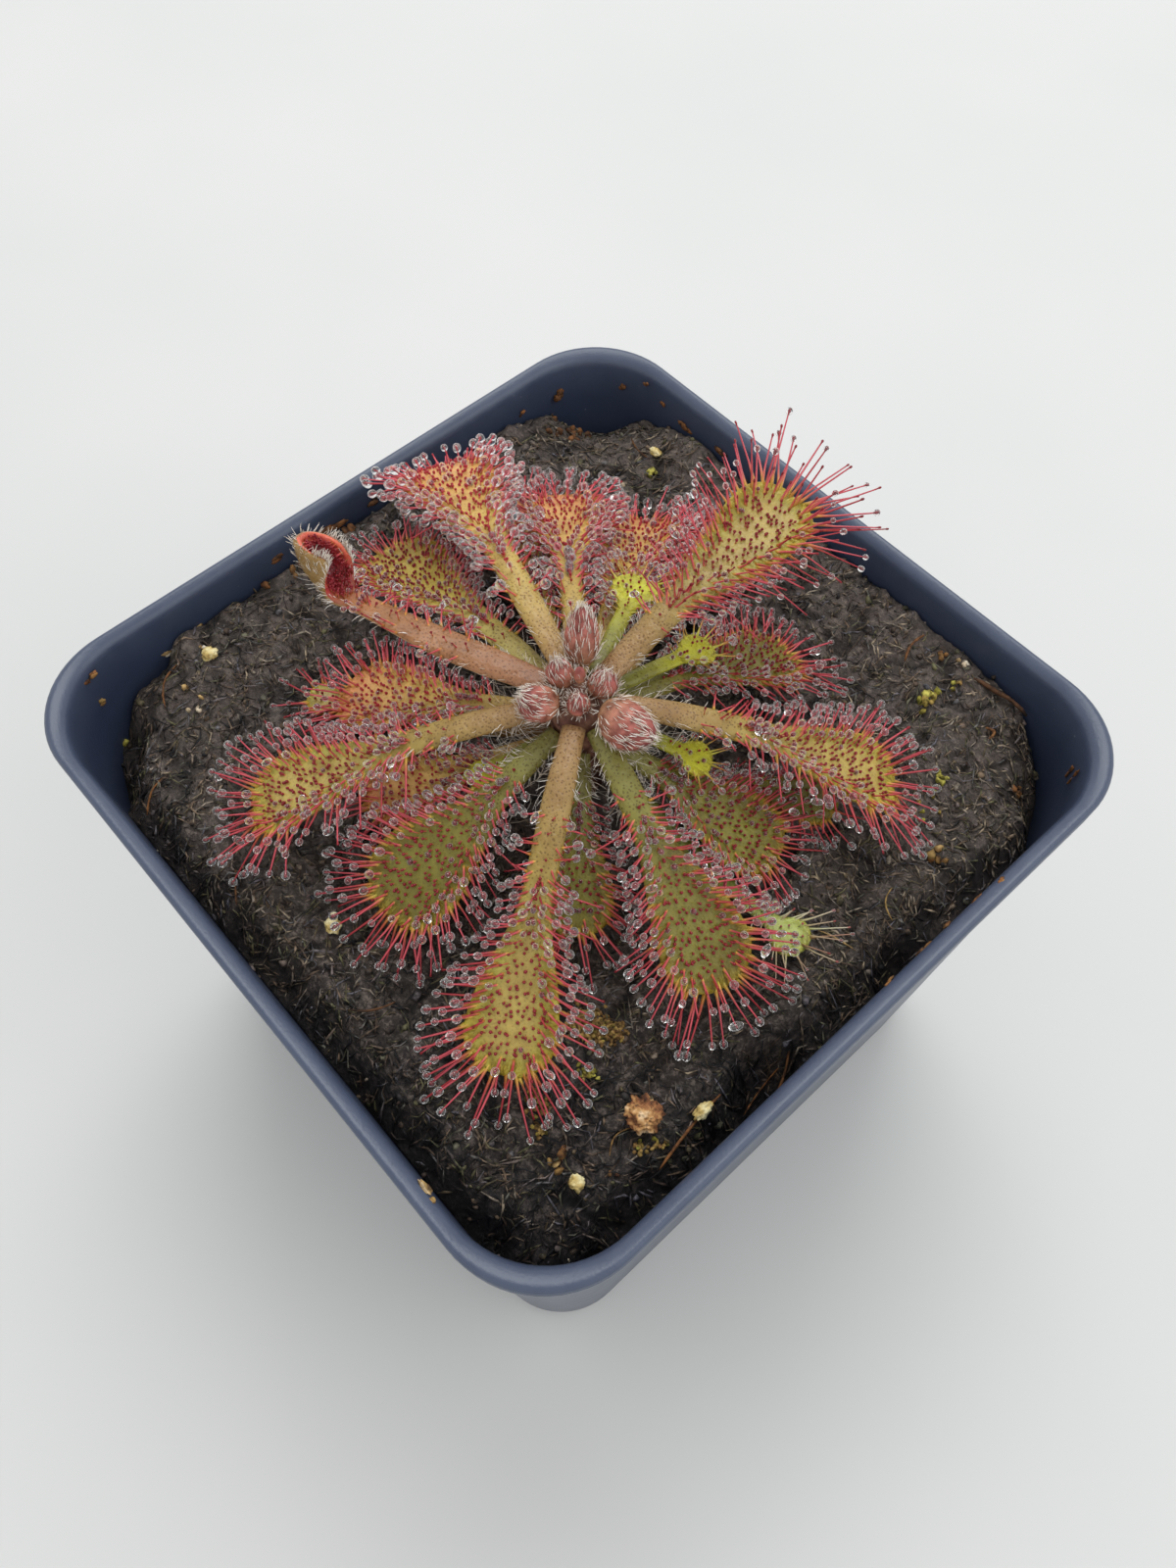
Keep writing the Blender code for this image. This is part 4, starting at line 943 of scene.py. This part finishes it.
for tissue, (stops, margin, under, _) in tissues.items():
    # living leaf, grown: waxy and a little see-through, speckled skin over gold-green flesh,
    # yellower at the margin, with fine streaks along the blade
    leafTissue[tissue], tree = newMaterial(
        f"{tissue} sundew leaf tissue", Roughness=0.34, IOR=1.42, Subsurface_Weight=0.18,
        Subsurface_Scale=0.0006, Subsurface_Radius=(1.0, 0.7, 0.25))
    along, side, face, around = (pattern(tree, layer) for layer in bladeLayers)
    place = addNode(tree, "TexCoord", output="Object")
    colour = addNode(tree, "ValToRGB", {"Fac": along}, stops)
    if tissue in ("tan", "red"):
        # the middle of a mature blade is flushed with pink
        middle = addNode(tree, "MapRange", {"Value": side, 1: 0.0, 2: 0.35, 3: 0.30, 4: 0.0})
        colour = addNode(tree, "Mix", {0: middle, 6: colour, 7: toLinear("C08C68")}, **blend)
    # veins run out to the margin's glands, 0.9 mm apart
    ray = addNode(tree, "CombineXYZ", {0: around, 1: side})
    vein = addNode(tree, "TexNoise", {"Vector": ray, "Scale": 1.3, "Detail": 3.0, "Roughness": 0.6})
    crest = addNode(tree, "ValToRGB", {"Fac": vein}, [(0.42, "B8A666"), (0.50, "E6DCAC"), (0.57, "FFFFFF")])
    outer = addNode(tree, "MapRange", {"Value": side, 1: 0.08, 2: 0.7, 3: 0.0, 4: 0.9})
    # cloudy changes about 2 mm across blur the margin's colour
    cloud = addNode(tree, "TexNoise", {"Vector": place, "Scale": 420.0, "Detail": 4.0})
    edge = addNode(tree, "Math", {0: side, 1: 0.42, 2: 0.12}, operation="MULTIPLY_ADD")
    spread = addNode(tree, "Math", {0: cloud, 1: -0.35, 2: edge}, operation="MULTIPLY_ADD")
    soft = addNode(tree, "MapRange", {"Value": spread, 1: 0.12, 2: 0.36, 3: 0.0, 4: 0.85})
    colour = addNode(tree, "Mix", {0: soft, 6: colour, 7: toLinear(margin)}, **blend)
    colour = addNode(tree, "Mix", {0: outer, 6: colour, 7: crest}, **multiply)
    # skin cells read as specks of 0.22 mm, browner on the stalk
    cells = addNode(tree, "TexVoronoi", {"Vector": place, "Scale": 3600.0})
    speck = addNode(tree, "ValToRGB", {"Fac": cells}, [(0.18, "9A7E66"), (0.42, "FFFFFF")])
    stalkward = addNode(tree, "MapRange", {"Value": along, 1: 0.35, 2: 0.7, 3: 0.7, 4: 0.3})
    darker = addNode(tree, "ValToRGB", {"Fac": cloud}, [(0.3, "C8B8A4"), (0.6, "FFFFFF")])
    colour = addNode(tree, "Mix", {0: stalkward, 6: colour, 7: speck}, **multiply)
    colour = addNode(tree, "Mix", {0: 0.6, 6: colour, 7: darker}, **multiply)
    colour = addNode(tree, "Mix", {0: face, 6: toLinear(under), 7: colour}, **blend)
    if tissue == "pink":
        # the inside of the rolled tip is crimson
        tipward = addNode(tree, "MapRange", {"Value": along, 1: 0.70, 2: 0.78})
        flap = addNode(tree, "Mix", {0: tipward, 6: colour, 7: toLinear("8E7040")}, **blend)
        crimson = addNode(tree, "ValToRGB", {"Fac": side},
                          [(0.0, "8C2A32"), (0.55, "A8383C"), (1.0, "D86A50")])
        inner = addNode(tree, "Math", {0: tipward, 1: face}, operation="MULTIPLY")
        colour = addNode(tree, "Mix", {0: inner, 6: flap, 7: crimson}, **blend)
    ridge = addNode(tree, "TexNoise", {"Vector": place, "Scale": 1500.0, "Detail": 3.0})
    rib = addNode(tree, "Math", {0: crest, 1: outer, 2: ridge}, operation="MULTIPLY_ADD")
    bump = addNode(tree, "Bump", {"Height": rib, "Strength": 0.7, "Distance": 0.00020})
    finer = addNode(tree, "Bump", {"Height": cells, "Strength": 0.35, "Distance": 0.00008, "Normal": bump})
    linkShader(tree, Base_Color=colour, Normal=finer)

# gland stalk, living: a leaf-coloured foot that turns to clear red and ends in a dark head
clearRed = [(0.10, "DAAE52"), (0.20, "DA7E60"), (0.38, "D45E68"), (0.78, "C64E5C"), (0.85, "962A34"),
            (1.0, "82202A")]
glandColours = {
    "tan": [(0.0, "D0BC4C"), *clearRed],
    "green": [(0.0, "BEB446"), *clearRed],
    "lime": [(0.0, "D0BC4C"), *clearRed],
    "pink": [(0.0, "B88A54"), *clearRed],
    "red": [(0.0, "CC8A48"), (0.10, "DAAE52"), (0.20, "E67E68"), (0.40, "E86C78"), (0.78, "E2606E"),
            (0.85, "BE3846"), (1.0, "A82E3A")],
    "pale": [(0.0, "CCCC50"), (0.3, "D0C858"), (0.62, "D89A58"), (0.80, "CC6450"), (0.86, "A02C34"),
             (1.0, "8A2428")],
    "dull": [(0.0, "B0B478"), (0.3, "C8C8A0"), (0.80, "D8D0B8"), (0.86, "B87870"), (1.0, "9A4A4C")],
}
glandStalks = {
    tissue: rampedMaterial(
        f"gland stalk on {tissue} leaf", ("along", stops),
        ("tone", [(0.0, "CFA4A0"), (0.5, "F0E4E4"), (1.0, "FFFFFF")]), Roughness=0.28, IOR=1.40)
    for tissue, stops in glandColours.items()}

# mucilage, a clear watery drop: bright where the sky refracts in it, with a dark thin ring
dewDrop, _ = newMaterial("clear mucilage", Base_Color=toLinear("FFFFFF"), Roughness=0.0, IOR=1.38,
                         Transmission_Weight=1.0, Sheen_Weight=1.0, Sheen_Roughness=0.42,
                         Coat_Weight=0.6, Coat_Roughness=0.0)

# backs are distances before the tip of the head's rings; radii and tints are ring by ring
longGland = {
    "shape": tubeTemplate("long_gland", 4, 8),
    "root": 0.5,
    "shares": (0.0, 0.16, 0.38, 0.90),  # of the length, where the stalk's rings sit
    "backs": (0.34, 0.20, 0.06, 0.0),
    "radii": (0.23, 0.14, 0.098, 0.072, 0.075, 0.125, 0.105, 0.04),
    "tints": (0.0, 0.14, 0.38, 0.78, 0.84, 0.90, 0.96, 1.0),
}
shortGland = {
    "shape": tubeTemplate("short_gland", 5, 5),
    "root": 0.8,
    "backs": (0.27, 0.13, 0.0),
    "radii": (0.08, 0.048, 0.105, 0.158, 0.06),
    "tints": (0.05, 0.40, 0.86, 0.93, 1.0),
}
glands = {
    # inset from the margin, spacing, elevation, share of the margin length
    "rows": ((0.50, 0.80, 3, 1.0), (0.80, 0.92, 20, 0.86), (1.20, 1.05, 38, 0.62),
             (1.65, 1.0, 54, 0.40)),
    "facePitch": 0.57,
    "faceInset": 1.6,
    "furled": 210,  # on the inside of the unfurling leaf's roll
    "drop": 0.355,
    "dewing": (0.95, 0.18, 0.95),
}
# share of margin glands with a drop, share of face glands with one, size of the drops
dewing = {
    "leaf_raised": (0.45, 0.02, 0.80), "leaf_unfurling": (0.5, 0.15, 0.85),
    "leaf_front": (0.97, 0.03, 1.0), "leaf_front_right": (0.97, 0.04, 1.0),
    "leaf_back_left": (0.95, 0.10, 1.22), "leaf_back_middle": (0.85, 0.22, 1.2),
    "leaf_back_upper": (0.85, 0.22, 1.2), "leaf_back_right": (0.85, 0.22, 1.2),
    "leaf_back_under": (0.85, 0.22, 1.2), "leaf_left": (0.97, 0.05, 1.0),
    "leaf_front_left": (0.97, 0.05, 1.0), "leaf_right": (0.97, 0.06, 1.0),
    "small_leaf_far_right": (0.4, 0.0, 0.5), "small_leaf_left": (0.8, 0.1, 0.8),
}
room = {
    "half": 38.6,  # how far from the pot's middle a gland's tip may reach, and how high
    "top": 142.5,
    "overRim": 0.3,
    "overCompost": 0.4,
}
dropShape = ballTemplate("drop", 2, ())
hairShape = tubeTemplate("hair", 3, 4)


def makeBlade(leaf):
    # a grid with two faces, wrapped on the leaf's form
    work = bmesh.new()
    rows = blade["rows"] // 2 if leaf.narrow else blade["rows"]
    cells = blade["cells"]
    if leaf.furled:
        rows, cells = rows + blade["furledRows"], cells * 2
    bmesh.ops.create_grid(work, x_segments=rows, y_segments=cells, size=1.0)
    made = bmesh.ops.extrude_face_region(work, geom=work.faces[:])
    upper = [item for item in made["geom"] if isinstance(item, bmesh.types.BMVert)]
    bmesh.ops.translate(work, vec=(0, 0, 1), verts=upper)
    along, side, face, around = [work.verts.layers.float.new(layer) for layer in bladeLayers]
    for vert in work.verts:
        u = 1 - (1 - (vert.co.x + 1) / 2) ** blade["crowding"]
        v = math.sin(vert.co.y * math.pi / 2)
        level = 1 if vert.co.z > 0.5 else -1
        spot = Vector((u * leaf.length, v * leaf.half, leaf.seed + level))
        relief = blade["pebble"] * (noise.noise(spot * 1.1) + 0.6 * noise.noise(spot * 2.3))
        away = leaf.inset(u, v)
        wide = 0.2 + 0.8 * smoothstep(leaf.bladeStart, leaf.widest, u)
        vert[along], vert[face] = u, (level + 1) / 2
        vert[side] = (1 - min(away / max(leaf.half * 0.55, 0.5), 1)) * wide
        # millimetres along the margin from the tip to the point that this one faces
        beyond = (u - leaf.widest) * leaf.length
        if beyond > 0:
            vert[around] = math.atan2(v * leaf.half, beyond) * leaf.half
        else:
            vert[around] = math.copysign(math.pi / 2 * leaf.half - beyond, v)
        vert.co = leaf.surface(u, v, level, relief * smoothstep(0, 0.5, away) * level)
    bmesh.ops.remove_doubles(work, verts=work.verts, dist=0.004)
    bmesh.ops.recalc_face_normals(work, faces=work.faces)
    if work.calc_volume(signed=True) < 0:
        bmesh.ops.reverse_faces(work, faces=work.faces)
    return work


def marginPlaces(leaf, spacing, inset, start, steps=120, tipSteps=16):
    # shares u and sides v round the blade, evenly spaced and set in from its edge
    end = 1 - inset / leaf.length
    path = [(start + (end - start) * step / steps, -1) for step in range(steps + 1)]
    path += [(end, -1 + 2 * step / tipSteps) for step in range(1, tipSteps)]
    path += [(u, 1) for u, _ in reversed(path[:steps + 1])]
    inner = [(u, v * max(1 - inset / leaf.halfWidth(u), 0.05)) for u, v in path]
    points = [leaf.surface(u, v) for u, v in inner]
    total = sum((b - a).length for a, b in zip(points, points[1:]))
    count = max(int(total / spacing), 6)
    walked, found, target = 0.0, [], total / count / 2
    for place, here, after in zip(inner, points, points[1:]):
        if walked >= target:
            found.append(place)
            target += total / count
        walked += (after - here).length
    return found


def blocked(leaf, root, line, length):
    # whether a gland would run into another leaf, the compost or the pot's wall
    tip = root + line * (length + 0.3)
    if max(abs(tip.x), abs(tip.y)) > room["half"] or tip.z > room["top"]:
        return True
    if inPot(tip.x, tip.y, 0) and tip.z < compostHeight(tip.x, tip.y) + room["overCompost"]:
        return True
    if not inPot(tip.x, tip.y, room["overRim"]) and tip.z < pot["height"] + room["overRim"]:
        return True
    for name, tree in bladeTrees.items():
        if name != leaf.name and tree.ray_cast(root, line, length + 0.5)[0] is not None:
            return True
    return bladeTrees[leaf.name].ray_cast(root + line * 0.6, line, length)[0] is not None


def growGlands(leaf, draw):
    stalks, dew = bmesh.new(), bmesh.new()
    dewMargin, dewFace, dewSize = dewing.get(leaf.name, glands["dewing"])
    pale = leaf.tissue in ("pale", "dull")

    def addDrop(tip, away, long):
        size = glands["drop"] * dewSize * draw.uniform(0.82, 1.16) * (1 if long else 0.72)
        merged = draw.random() < 0.06 and long
        stretch = draw.uniform(1.5, 2.1) if merged else draw.uniform(1.0, 1.18)
        axis = anyDirection(draw) if merged else away
        turned = axis.to_track_quat("Z", "Y").to_matrix()
        coords = []
        for place in dropShape[1]:
            point = turned @ Vector((place.x, place.y, place.z * stretch))
            coords.extend(tip - away * 0.18 + point * size)
        stamp(dew, dropShape, coords)

    def grow(u, v, elevation, length, forward, long, chance, thick=1.0):
        form = longGland if long else shortGland
        along, across, up = leaf.facing(u, v)
        root = leaf.surface(u, v, form["root"])
        side = v if abs(v) > 0.05 else draw.uniform(-0.05, 0.05)
        outward = (across * side + along * forward).normalized()
        # it stands steeper where it would run into something, or else stays short
        for extra in (0, 14, 30, 48, 66, -14):
            angle = math.radians(min(elevation + extra, 92))
            line = outward * math.cos(angle) + up * math.sin(angle)
            line = (line + anyDirection(draw) * 0.10).normalized()
            if not blocked(leaf, root, line, length):
                break
        else:
            length *= 0.55
            if blocked(leaf, root, line, length):
                return
        end = (line + anyDirection(draw) * 0.22 + up * draw.uniform(-0.05, 0.22)).normalized()
        tone = draw.random()
        scale = draw.uniform(0.88, 1.12) * thick
        backs = [1 - back * scale / length for back in form["backs"]]
        if long:
            shares = [min(share, backs[0] - 0.02) for share in form["shares"]]
        else:
            shares = [0.0, max(backs[0] - 0.12, 0.1)]
            tone = 0.3 + 0.7 * tone
        path = bentPath(root, line, end, length, shares + backs)
        addTube(stalks, form["shape"], path, [radius * scale for radius in form["radii"]],
                form["tints"], tone)
        if draw.random() < chance:
            addDrop(*path[-1], long)

    start = leaf.bladeStart * 0.92
    last = leaf.split - 0.04 if leaf.furled else 1.0
    for inset, spacing, elevation, share in glands["rows"]:
        if leaf.narrow and inset > 1:
            continue
        inset = inset * (0.6 if leaf.narrow else 1)
        for u, v in marginPlaces(leaf, spacing * (1.1 if leaf.narrow else 1), inset, start):
            if u > last:
                continue
            tip = smoothstep(leaf.widest - 0.08, 1.0, u)
            grown = (0.62 + 0.38 * smoothstep(leaf.bladeStart, leaf.widest, u)) * (0.92 + 0.36 * tip)
            forward = tip * 1.5 * (1 - 0.6 * abs(v)) + 0.22
            length = leaf.needle * share * grown * draw.uniform(0.84, 1.12)
            chance = dewMargin if share > 0.5 else 0.5 * (dewMargin + dewFace)
            grow(u, v, elevation + draw.gauss(0, 6), max(length, 0.95), forward, length > 1.3, chance,
                 0.75 if pale else 1.0)
    # the face: short glands that lean outward, closer together in the middle
    pitch = glands["facePitch"] * (1.15 if leaf.narrow else 1)
    u, row = leaf.bladeStart * 0.9, 0
    while u < min(1 - glands["faceInset"] * (0.5 if leaf.narrow else 1) / leaf.length, last):
        half = leaf.halfWidth(u) - (0.9 if leaf.narrow else glands["faceInset"] * 0.9)
        count = max(int(half * 2 / pitch), 1 if half > -0.4 else 0)
        for cell in range(count):
            v = (cell + 0.5 + 0.5 * (row % 2)) / count * 2 - 1 if count > 1 else 0.0
            v = (v + draw.gauss(0, 0.05)) * max(half, 0.2) / leaf.halfWidth(u)
            if abs(v) > 0.85:
                continue
            length = 0.38 + 0.46 * abs(v) + 0.2 * (1 - smoothstep(leaf.bladeStart, leaf.widest, u))
            grow(min(u + draw.gauss(0, 0.006), 0.99), v, 72 - 30 * abs(v) + draw.gauss(0, 8),
                 length * draw.uniform(0.85, 1.15), 0.5 if row % 3 else -0.2, False, dewFace,
                 0.85 if pale else 1.0)
        u += pitch / leaf.length
        row += 1
    # the stalk: few and longer ones, none near the crown
    u = start if pale else 0.27
    while u < start:
        for v in (-0.9, -0.45, 0.1, 0.5, 0.92):
            if draw.random() < 0.62 * smoothstep(0.2, 0.6, u / start) + 0.16:
                outer = abs(v) > 0.4
                length = draw.uniform(1.4, 2.5) if outer else draw.uniform(0.8, 1.4)
                grow(u + draw.gauss(0, 0.01), v, 34 if outer else 70, length,
                     draw.uniform(-0.3, 0.9), length > 1.3, 0.45 if outer else 0.1, 0.85)
        u += 1.15 / leaf.length
    # a sparse lower row of bare glands that reaches past the dew
    if not leaf.narrow and not leaf.furled:
        for u, v in marginPlaces(leaf, 2.3, 0.1, start):
            if draw.random() < 0.5:
                forward = smoothstep(leaf.widest - 0.08, 1.0, u) * 1.5 + 0.22
                grow(u, v, -16 + draw.gauss(0, 7), leaf.needle * draw.uniform(0.95, 1.15), forward,
                     True, 0.1, 0.9)
    # crimson glands crowd the inside of the roll
    for _ in range(glands["furled"] if leaf.furled else 0):
        u, v = draw.uniform(leaf.split - 0.02, 0.985), draw.uniform(-0.93, 0.75)
        grow(u, v, 80 + draw.gauss(0, 12), draw.uniform(0.6, 1.0), 0.3, False, 0.02, 0.8)
    return stalks, dew


sundew = {name: Leaf(name, row) for name, row in leaves.items()}
bladeWorks = {name: makeBlade(leaf) for name, leaf in sundew.items()}
bladeTrees = {name: BVHTree.FromBMesh(work) for name, work in bladeWorks.items()}
for name, leaf in sundew.items():
    slot = ownSlots.get(name, tissues[leaf.tissue][-1])
    newPiece(f"{name}_blade", bladeWorks[name], leafTissue[leaf.tissue], name)
    stalks, dew = growGlands(leaf, random.Random(name + " glands"))
    newPiece(f"{name}_glands", stalks, glandStalks[leaf.tissue], name)
    if dew.verts:
        newPiece(f"{name}_dew", dew, dewDrop, name)
print("leaves, glands and dew grown")


# Stem, buds and down

# stem, living: short and brown-pink, with leaf scars
stemSkin = rampedMaterial(
    "sundew stem skin",
    (("TexNoise", {"Scale": 900.0, "Detail": 5.0}), [(0.3, "4A2C24"), (0.5, "7A5244"), (0.7, "A07A62")]),
    Roughness=0.7, IOR=1.42)
stemProfile = [(0.001, 72.6), (0.9, 72.5), (1.6, 72.2), (2.35, 71.6), (2.7, 70.4), (2.7, 68.0),
               (2.66, 66.0), (2.7, 64.5), (2.6, 62.8), (2.2, 60.8), (2.2, 54.0), (2.1, 48.0),
               (1.5, 46.6), (0.001, 46.6)]
work = bmesh.new()
points = [work.verts.new((x, 0, z)) for x, z in stemProfile]
edges = [work.edges.new(pair) for pair in zip(points, points[1:])]
bmesh.ops.spin(work, geom=points + edges, cent=(0, 0, 0), axis=(0, 0, 1), angle=math.tau, steps=32,
               use_merge=True)
bmesh.ops.remove_doubles(work, verts=work.verts, dist=0.01)
bmesh.ops.recalc_face_normals(work, faces=work.faces)
for vert in work.verts:
    vert.co.xy *= 1 + 0.05 * noise.noise(vert.co * 1.6)
bmesh.ops.translate(work, vec=(crown["x"], crown["y"], 0), verts=work.verts)
newPiece("stem_and_root", work, stemSkin, "stem")

# young rolled leaf, living: brick pink under its down, with painted shade darkening its folds
cloud = ("TexNoise", {"Scale": 1100.0, "Detail": 4.0})
budSkin = rampedMaterial(
    "rolled young leaf",
    ("along", [(0.0, "96764E"), (0.25, "B07C62"), (0.6, "B87064"), (1.0, "9C5250")]),
    (cloud, [(0.3, "9C8078"), (0.62, "FFFFFF")]), (cloud, 0.6, 0.2), Roughness=0.55, IOR=1.42,
    Subsurface_Weight=0.12, Subsurface_Scale=0.0006)

# plant down: fine white hairs, silky and drawn thicker than life so that they show
whiteDown = rampedMaterial("white plant down", ("tone", [(0.0, "C8B8A4"), (1.0, "FAF6F0")]),
                           Roughness=0.45, IOR=1.45)

# direction, half length, half width, tilt from upright, number of hairs
buds = {
    "bud_back": (137.6, 2.7, 1.5, 34, 230), "bud_large": (4.6, 2.8, 2.0, 76, 300),
    "bud_front_left": (-108.4, 1.9, 1.6, 50, 200), "bud_left": (-166.4, 1.4, 1.2, 24, 130),
    "bud_right": (59.6, 1.4, 1.25, 24, 150), "bud_front": (-50.4, 1.2, 1.0, 20, 110),
    "bud_top": (149.6, 0.95, 0.5, 8, 10),
}
down = {
    "atCrown": 700,
    "onStalk": 46,
    "onNarrowStalk": 12,
    "onFurled": 420,
}
downWork = bmesh.new()
draw = random.Random(71)


def addHair(root, start, end, length, radius, tone):
    path = bentPath(root, start, end, length, (0, 0.35, 0.7, 1.0))
    radii = [radius, radius, radius * 0.8, radius * 0.3]
    addTube(downWork, hairShape, path, radii, (0, 0.3, 0.7, 1), tone)


def budPoint(unit, halfLength, halfWidth):
    # a place on the bud from one on the unit ball, with the seam where the leaf's edge closes
    angle = math.atan2(unit.y, unit.x)
    seam = math.exp(-((angle - 0.9 - 0.5 * unit.z) / 0.22) ** 2) * (1 - unit.z * unit.z)
    wide = halfWidth * (1 - 0.22 * unit.z) * (1 - 0.12 * seam)
    x = unit.x * wide - 0.35 * halfWidth * unit.z ** 2
    return Vector((x, unit.y * wide, unit.z * halfLength))


for name, (direction, halfLength, halfWidth, tilt, hairs) in buds.items():
    work = bmesh.new()
    bmesh.ops.create_uvsphere(work, u_segments=28, v_segments=20, radius=1.0)
    turned = Matrix.Rotation(math.radians(direction), 3, "Z") @ Matrix.Rotation(math.radians(tilt), 3, "Y")
    low, high = (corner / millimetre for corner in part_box(name))
    along = work.verts.layers.float.new("along")
    for vert in work.verts:
        vert[along] = (vert.co.z + 1) / 2
        vert.co = turned @ budPoint(vert.co, halfLength, halfWidth)
    middle = [(min(vert.co[a] for vert in work.verts) + max(vert.co[a] for vert in work.verts)) / 2
              for a in range(3)]
    shift = (low + high) / 2 - Vector(middle)
    bmesh.ops.translate(work, vec=shift, verts=work.verts)
    newPiece(f"{name}_rolled", work, budSkin, name)
    for _ in range(hairs):
        unit = anyDirection(draw)
        unit.z = min(max(unit.z, -0.9), 0.93)
        root = budPoint(unit, halfLength, halfWidth)
        ahead = Vector((unit.x, unit.y, unit.z + 0.1)).normalized()
        tipward = (budPoint(ahead, halfLength, halfWidth) - root).normalized()
        out = Vector((unit.x / halfWidth, unit.y / halfWidth, unit.z / halfLength)).normalized()
        start = (tipward * 0.9 + out * 0.35 + anyDirection(draw) * 0.25).normalized()
        end = (tipward * 0.9 + out * draw.uniform(-0.1, 0.5) + anyDirection(draw) * 0.35).normalized()
        addHair(turned @ root + shift, turned @ start, turned @ end, draw.uniform(0.6, 1.25),
                draw.uniform(0.028, 0.042), draw.random())

# long hairs in the gaps between the stalks, from the leaf bases
for _ in range(down["atCrown"]):
    angle = draw.uniform(0, math.tau)
    reach = draw.uniform(2.2, 8.5)
    out = Vector((math.cos(angle), math.sin(angle), 0))
    root = Vector((crown["x"], crown["y"], pot["height"])) + out * reach
    root.z += draw.uniform(-1.5, 5.0) - reach * 0.15
    side = Vector((-out.y, out.x, 0)) * draw.choice((-1, 1))
    start = out * draw.uniform(0.2, 1.0) + side * draw.uniform(0, 0.9)
    start = (start + Vector((0, 0, draw.uniform(0.1, 0.8)))).normalized()
    end = (start + anyDirection(draw) * 0.6).normalized()
    addHair(root, start, end, draw.uniform(1.6, 3.8), draw.uniform(0.022, 0.034), draw.random())

# short down on the stalks and on the rolled tip
for leaf in sundew.values():
    count = down["onNarrowStalk"] if leaf.narrow else down["onStalk"]
    for _ in range(down["onFurled"] if leaf.furled else count):
        u = draw.uniform(0.06, 1.0 if leaf.furled else leaf.bladeStart * 1.05)
        v = draw.choice((-1, 1)) * draw.uniform(0.7, 1.0)
        level = draw.choice((-1, 1))
        if leaf.furled and draw.random() < 0.75:
            u = draw.uniform(leaf.split, 1.0)
            level, v = -1, draw.choice((draw.uniform(-0.95, 0.95), 1, -1))
        along, across, up = leaf.facing(u, v)
        root = leaf.surface(u, v, level)
        start = (across * v * 0.9 + along * draw.uniform(0.2, 1.2) + up * level * 0.5).normalized()
        end = (start + anyDirection(draw) * 0.5).normalized()
        addHair(root, start, end, draw.uniform(0.5, 1.1), draw.uniform(0.022, 0.032), draw.random())
newPiece("white_down", downWork, whiteDown)
print("crown and down made")
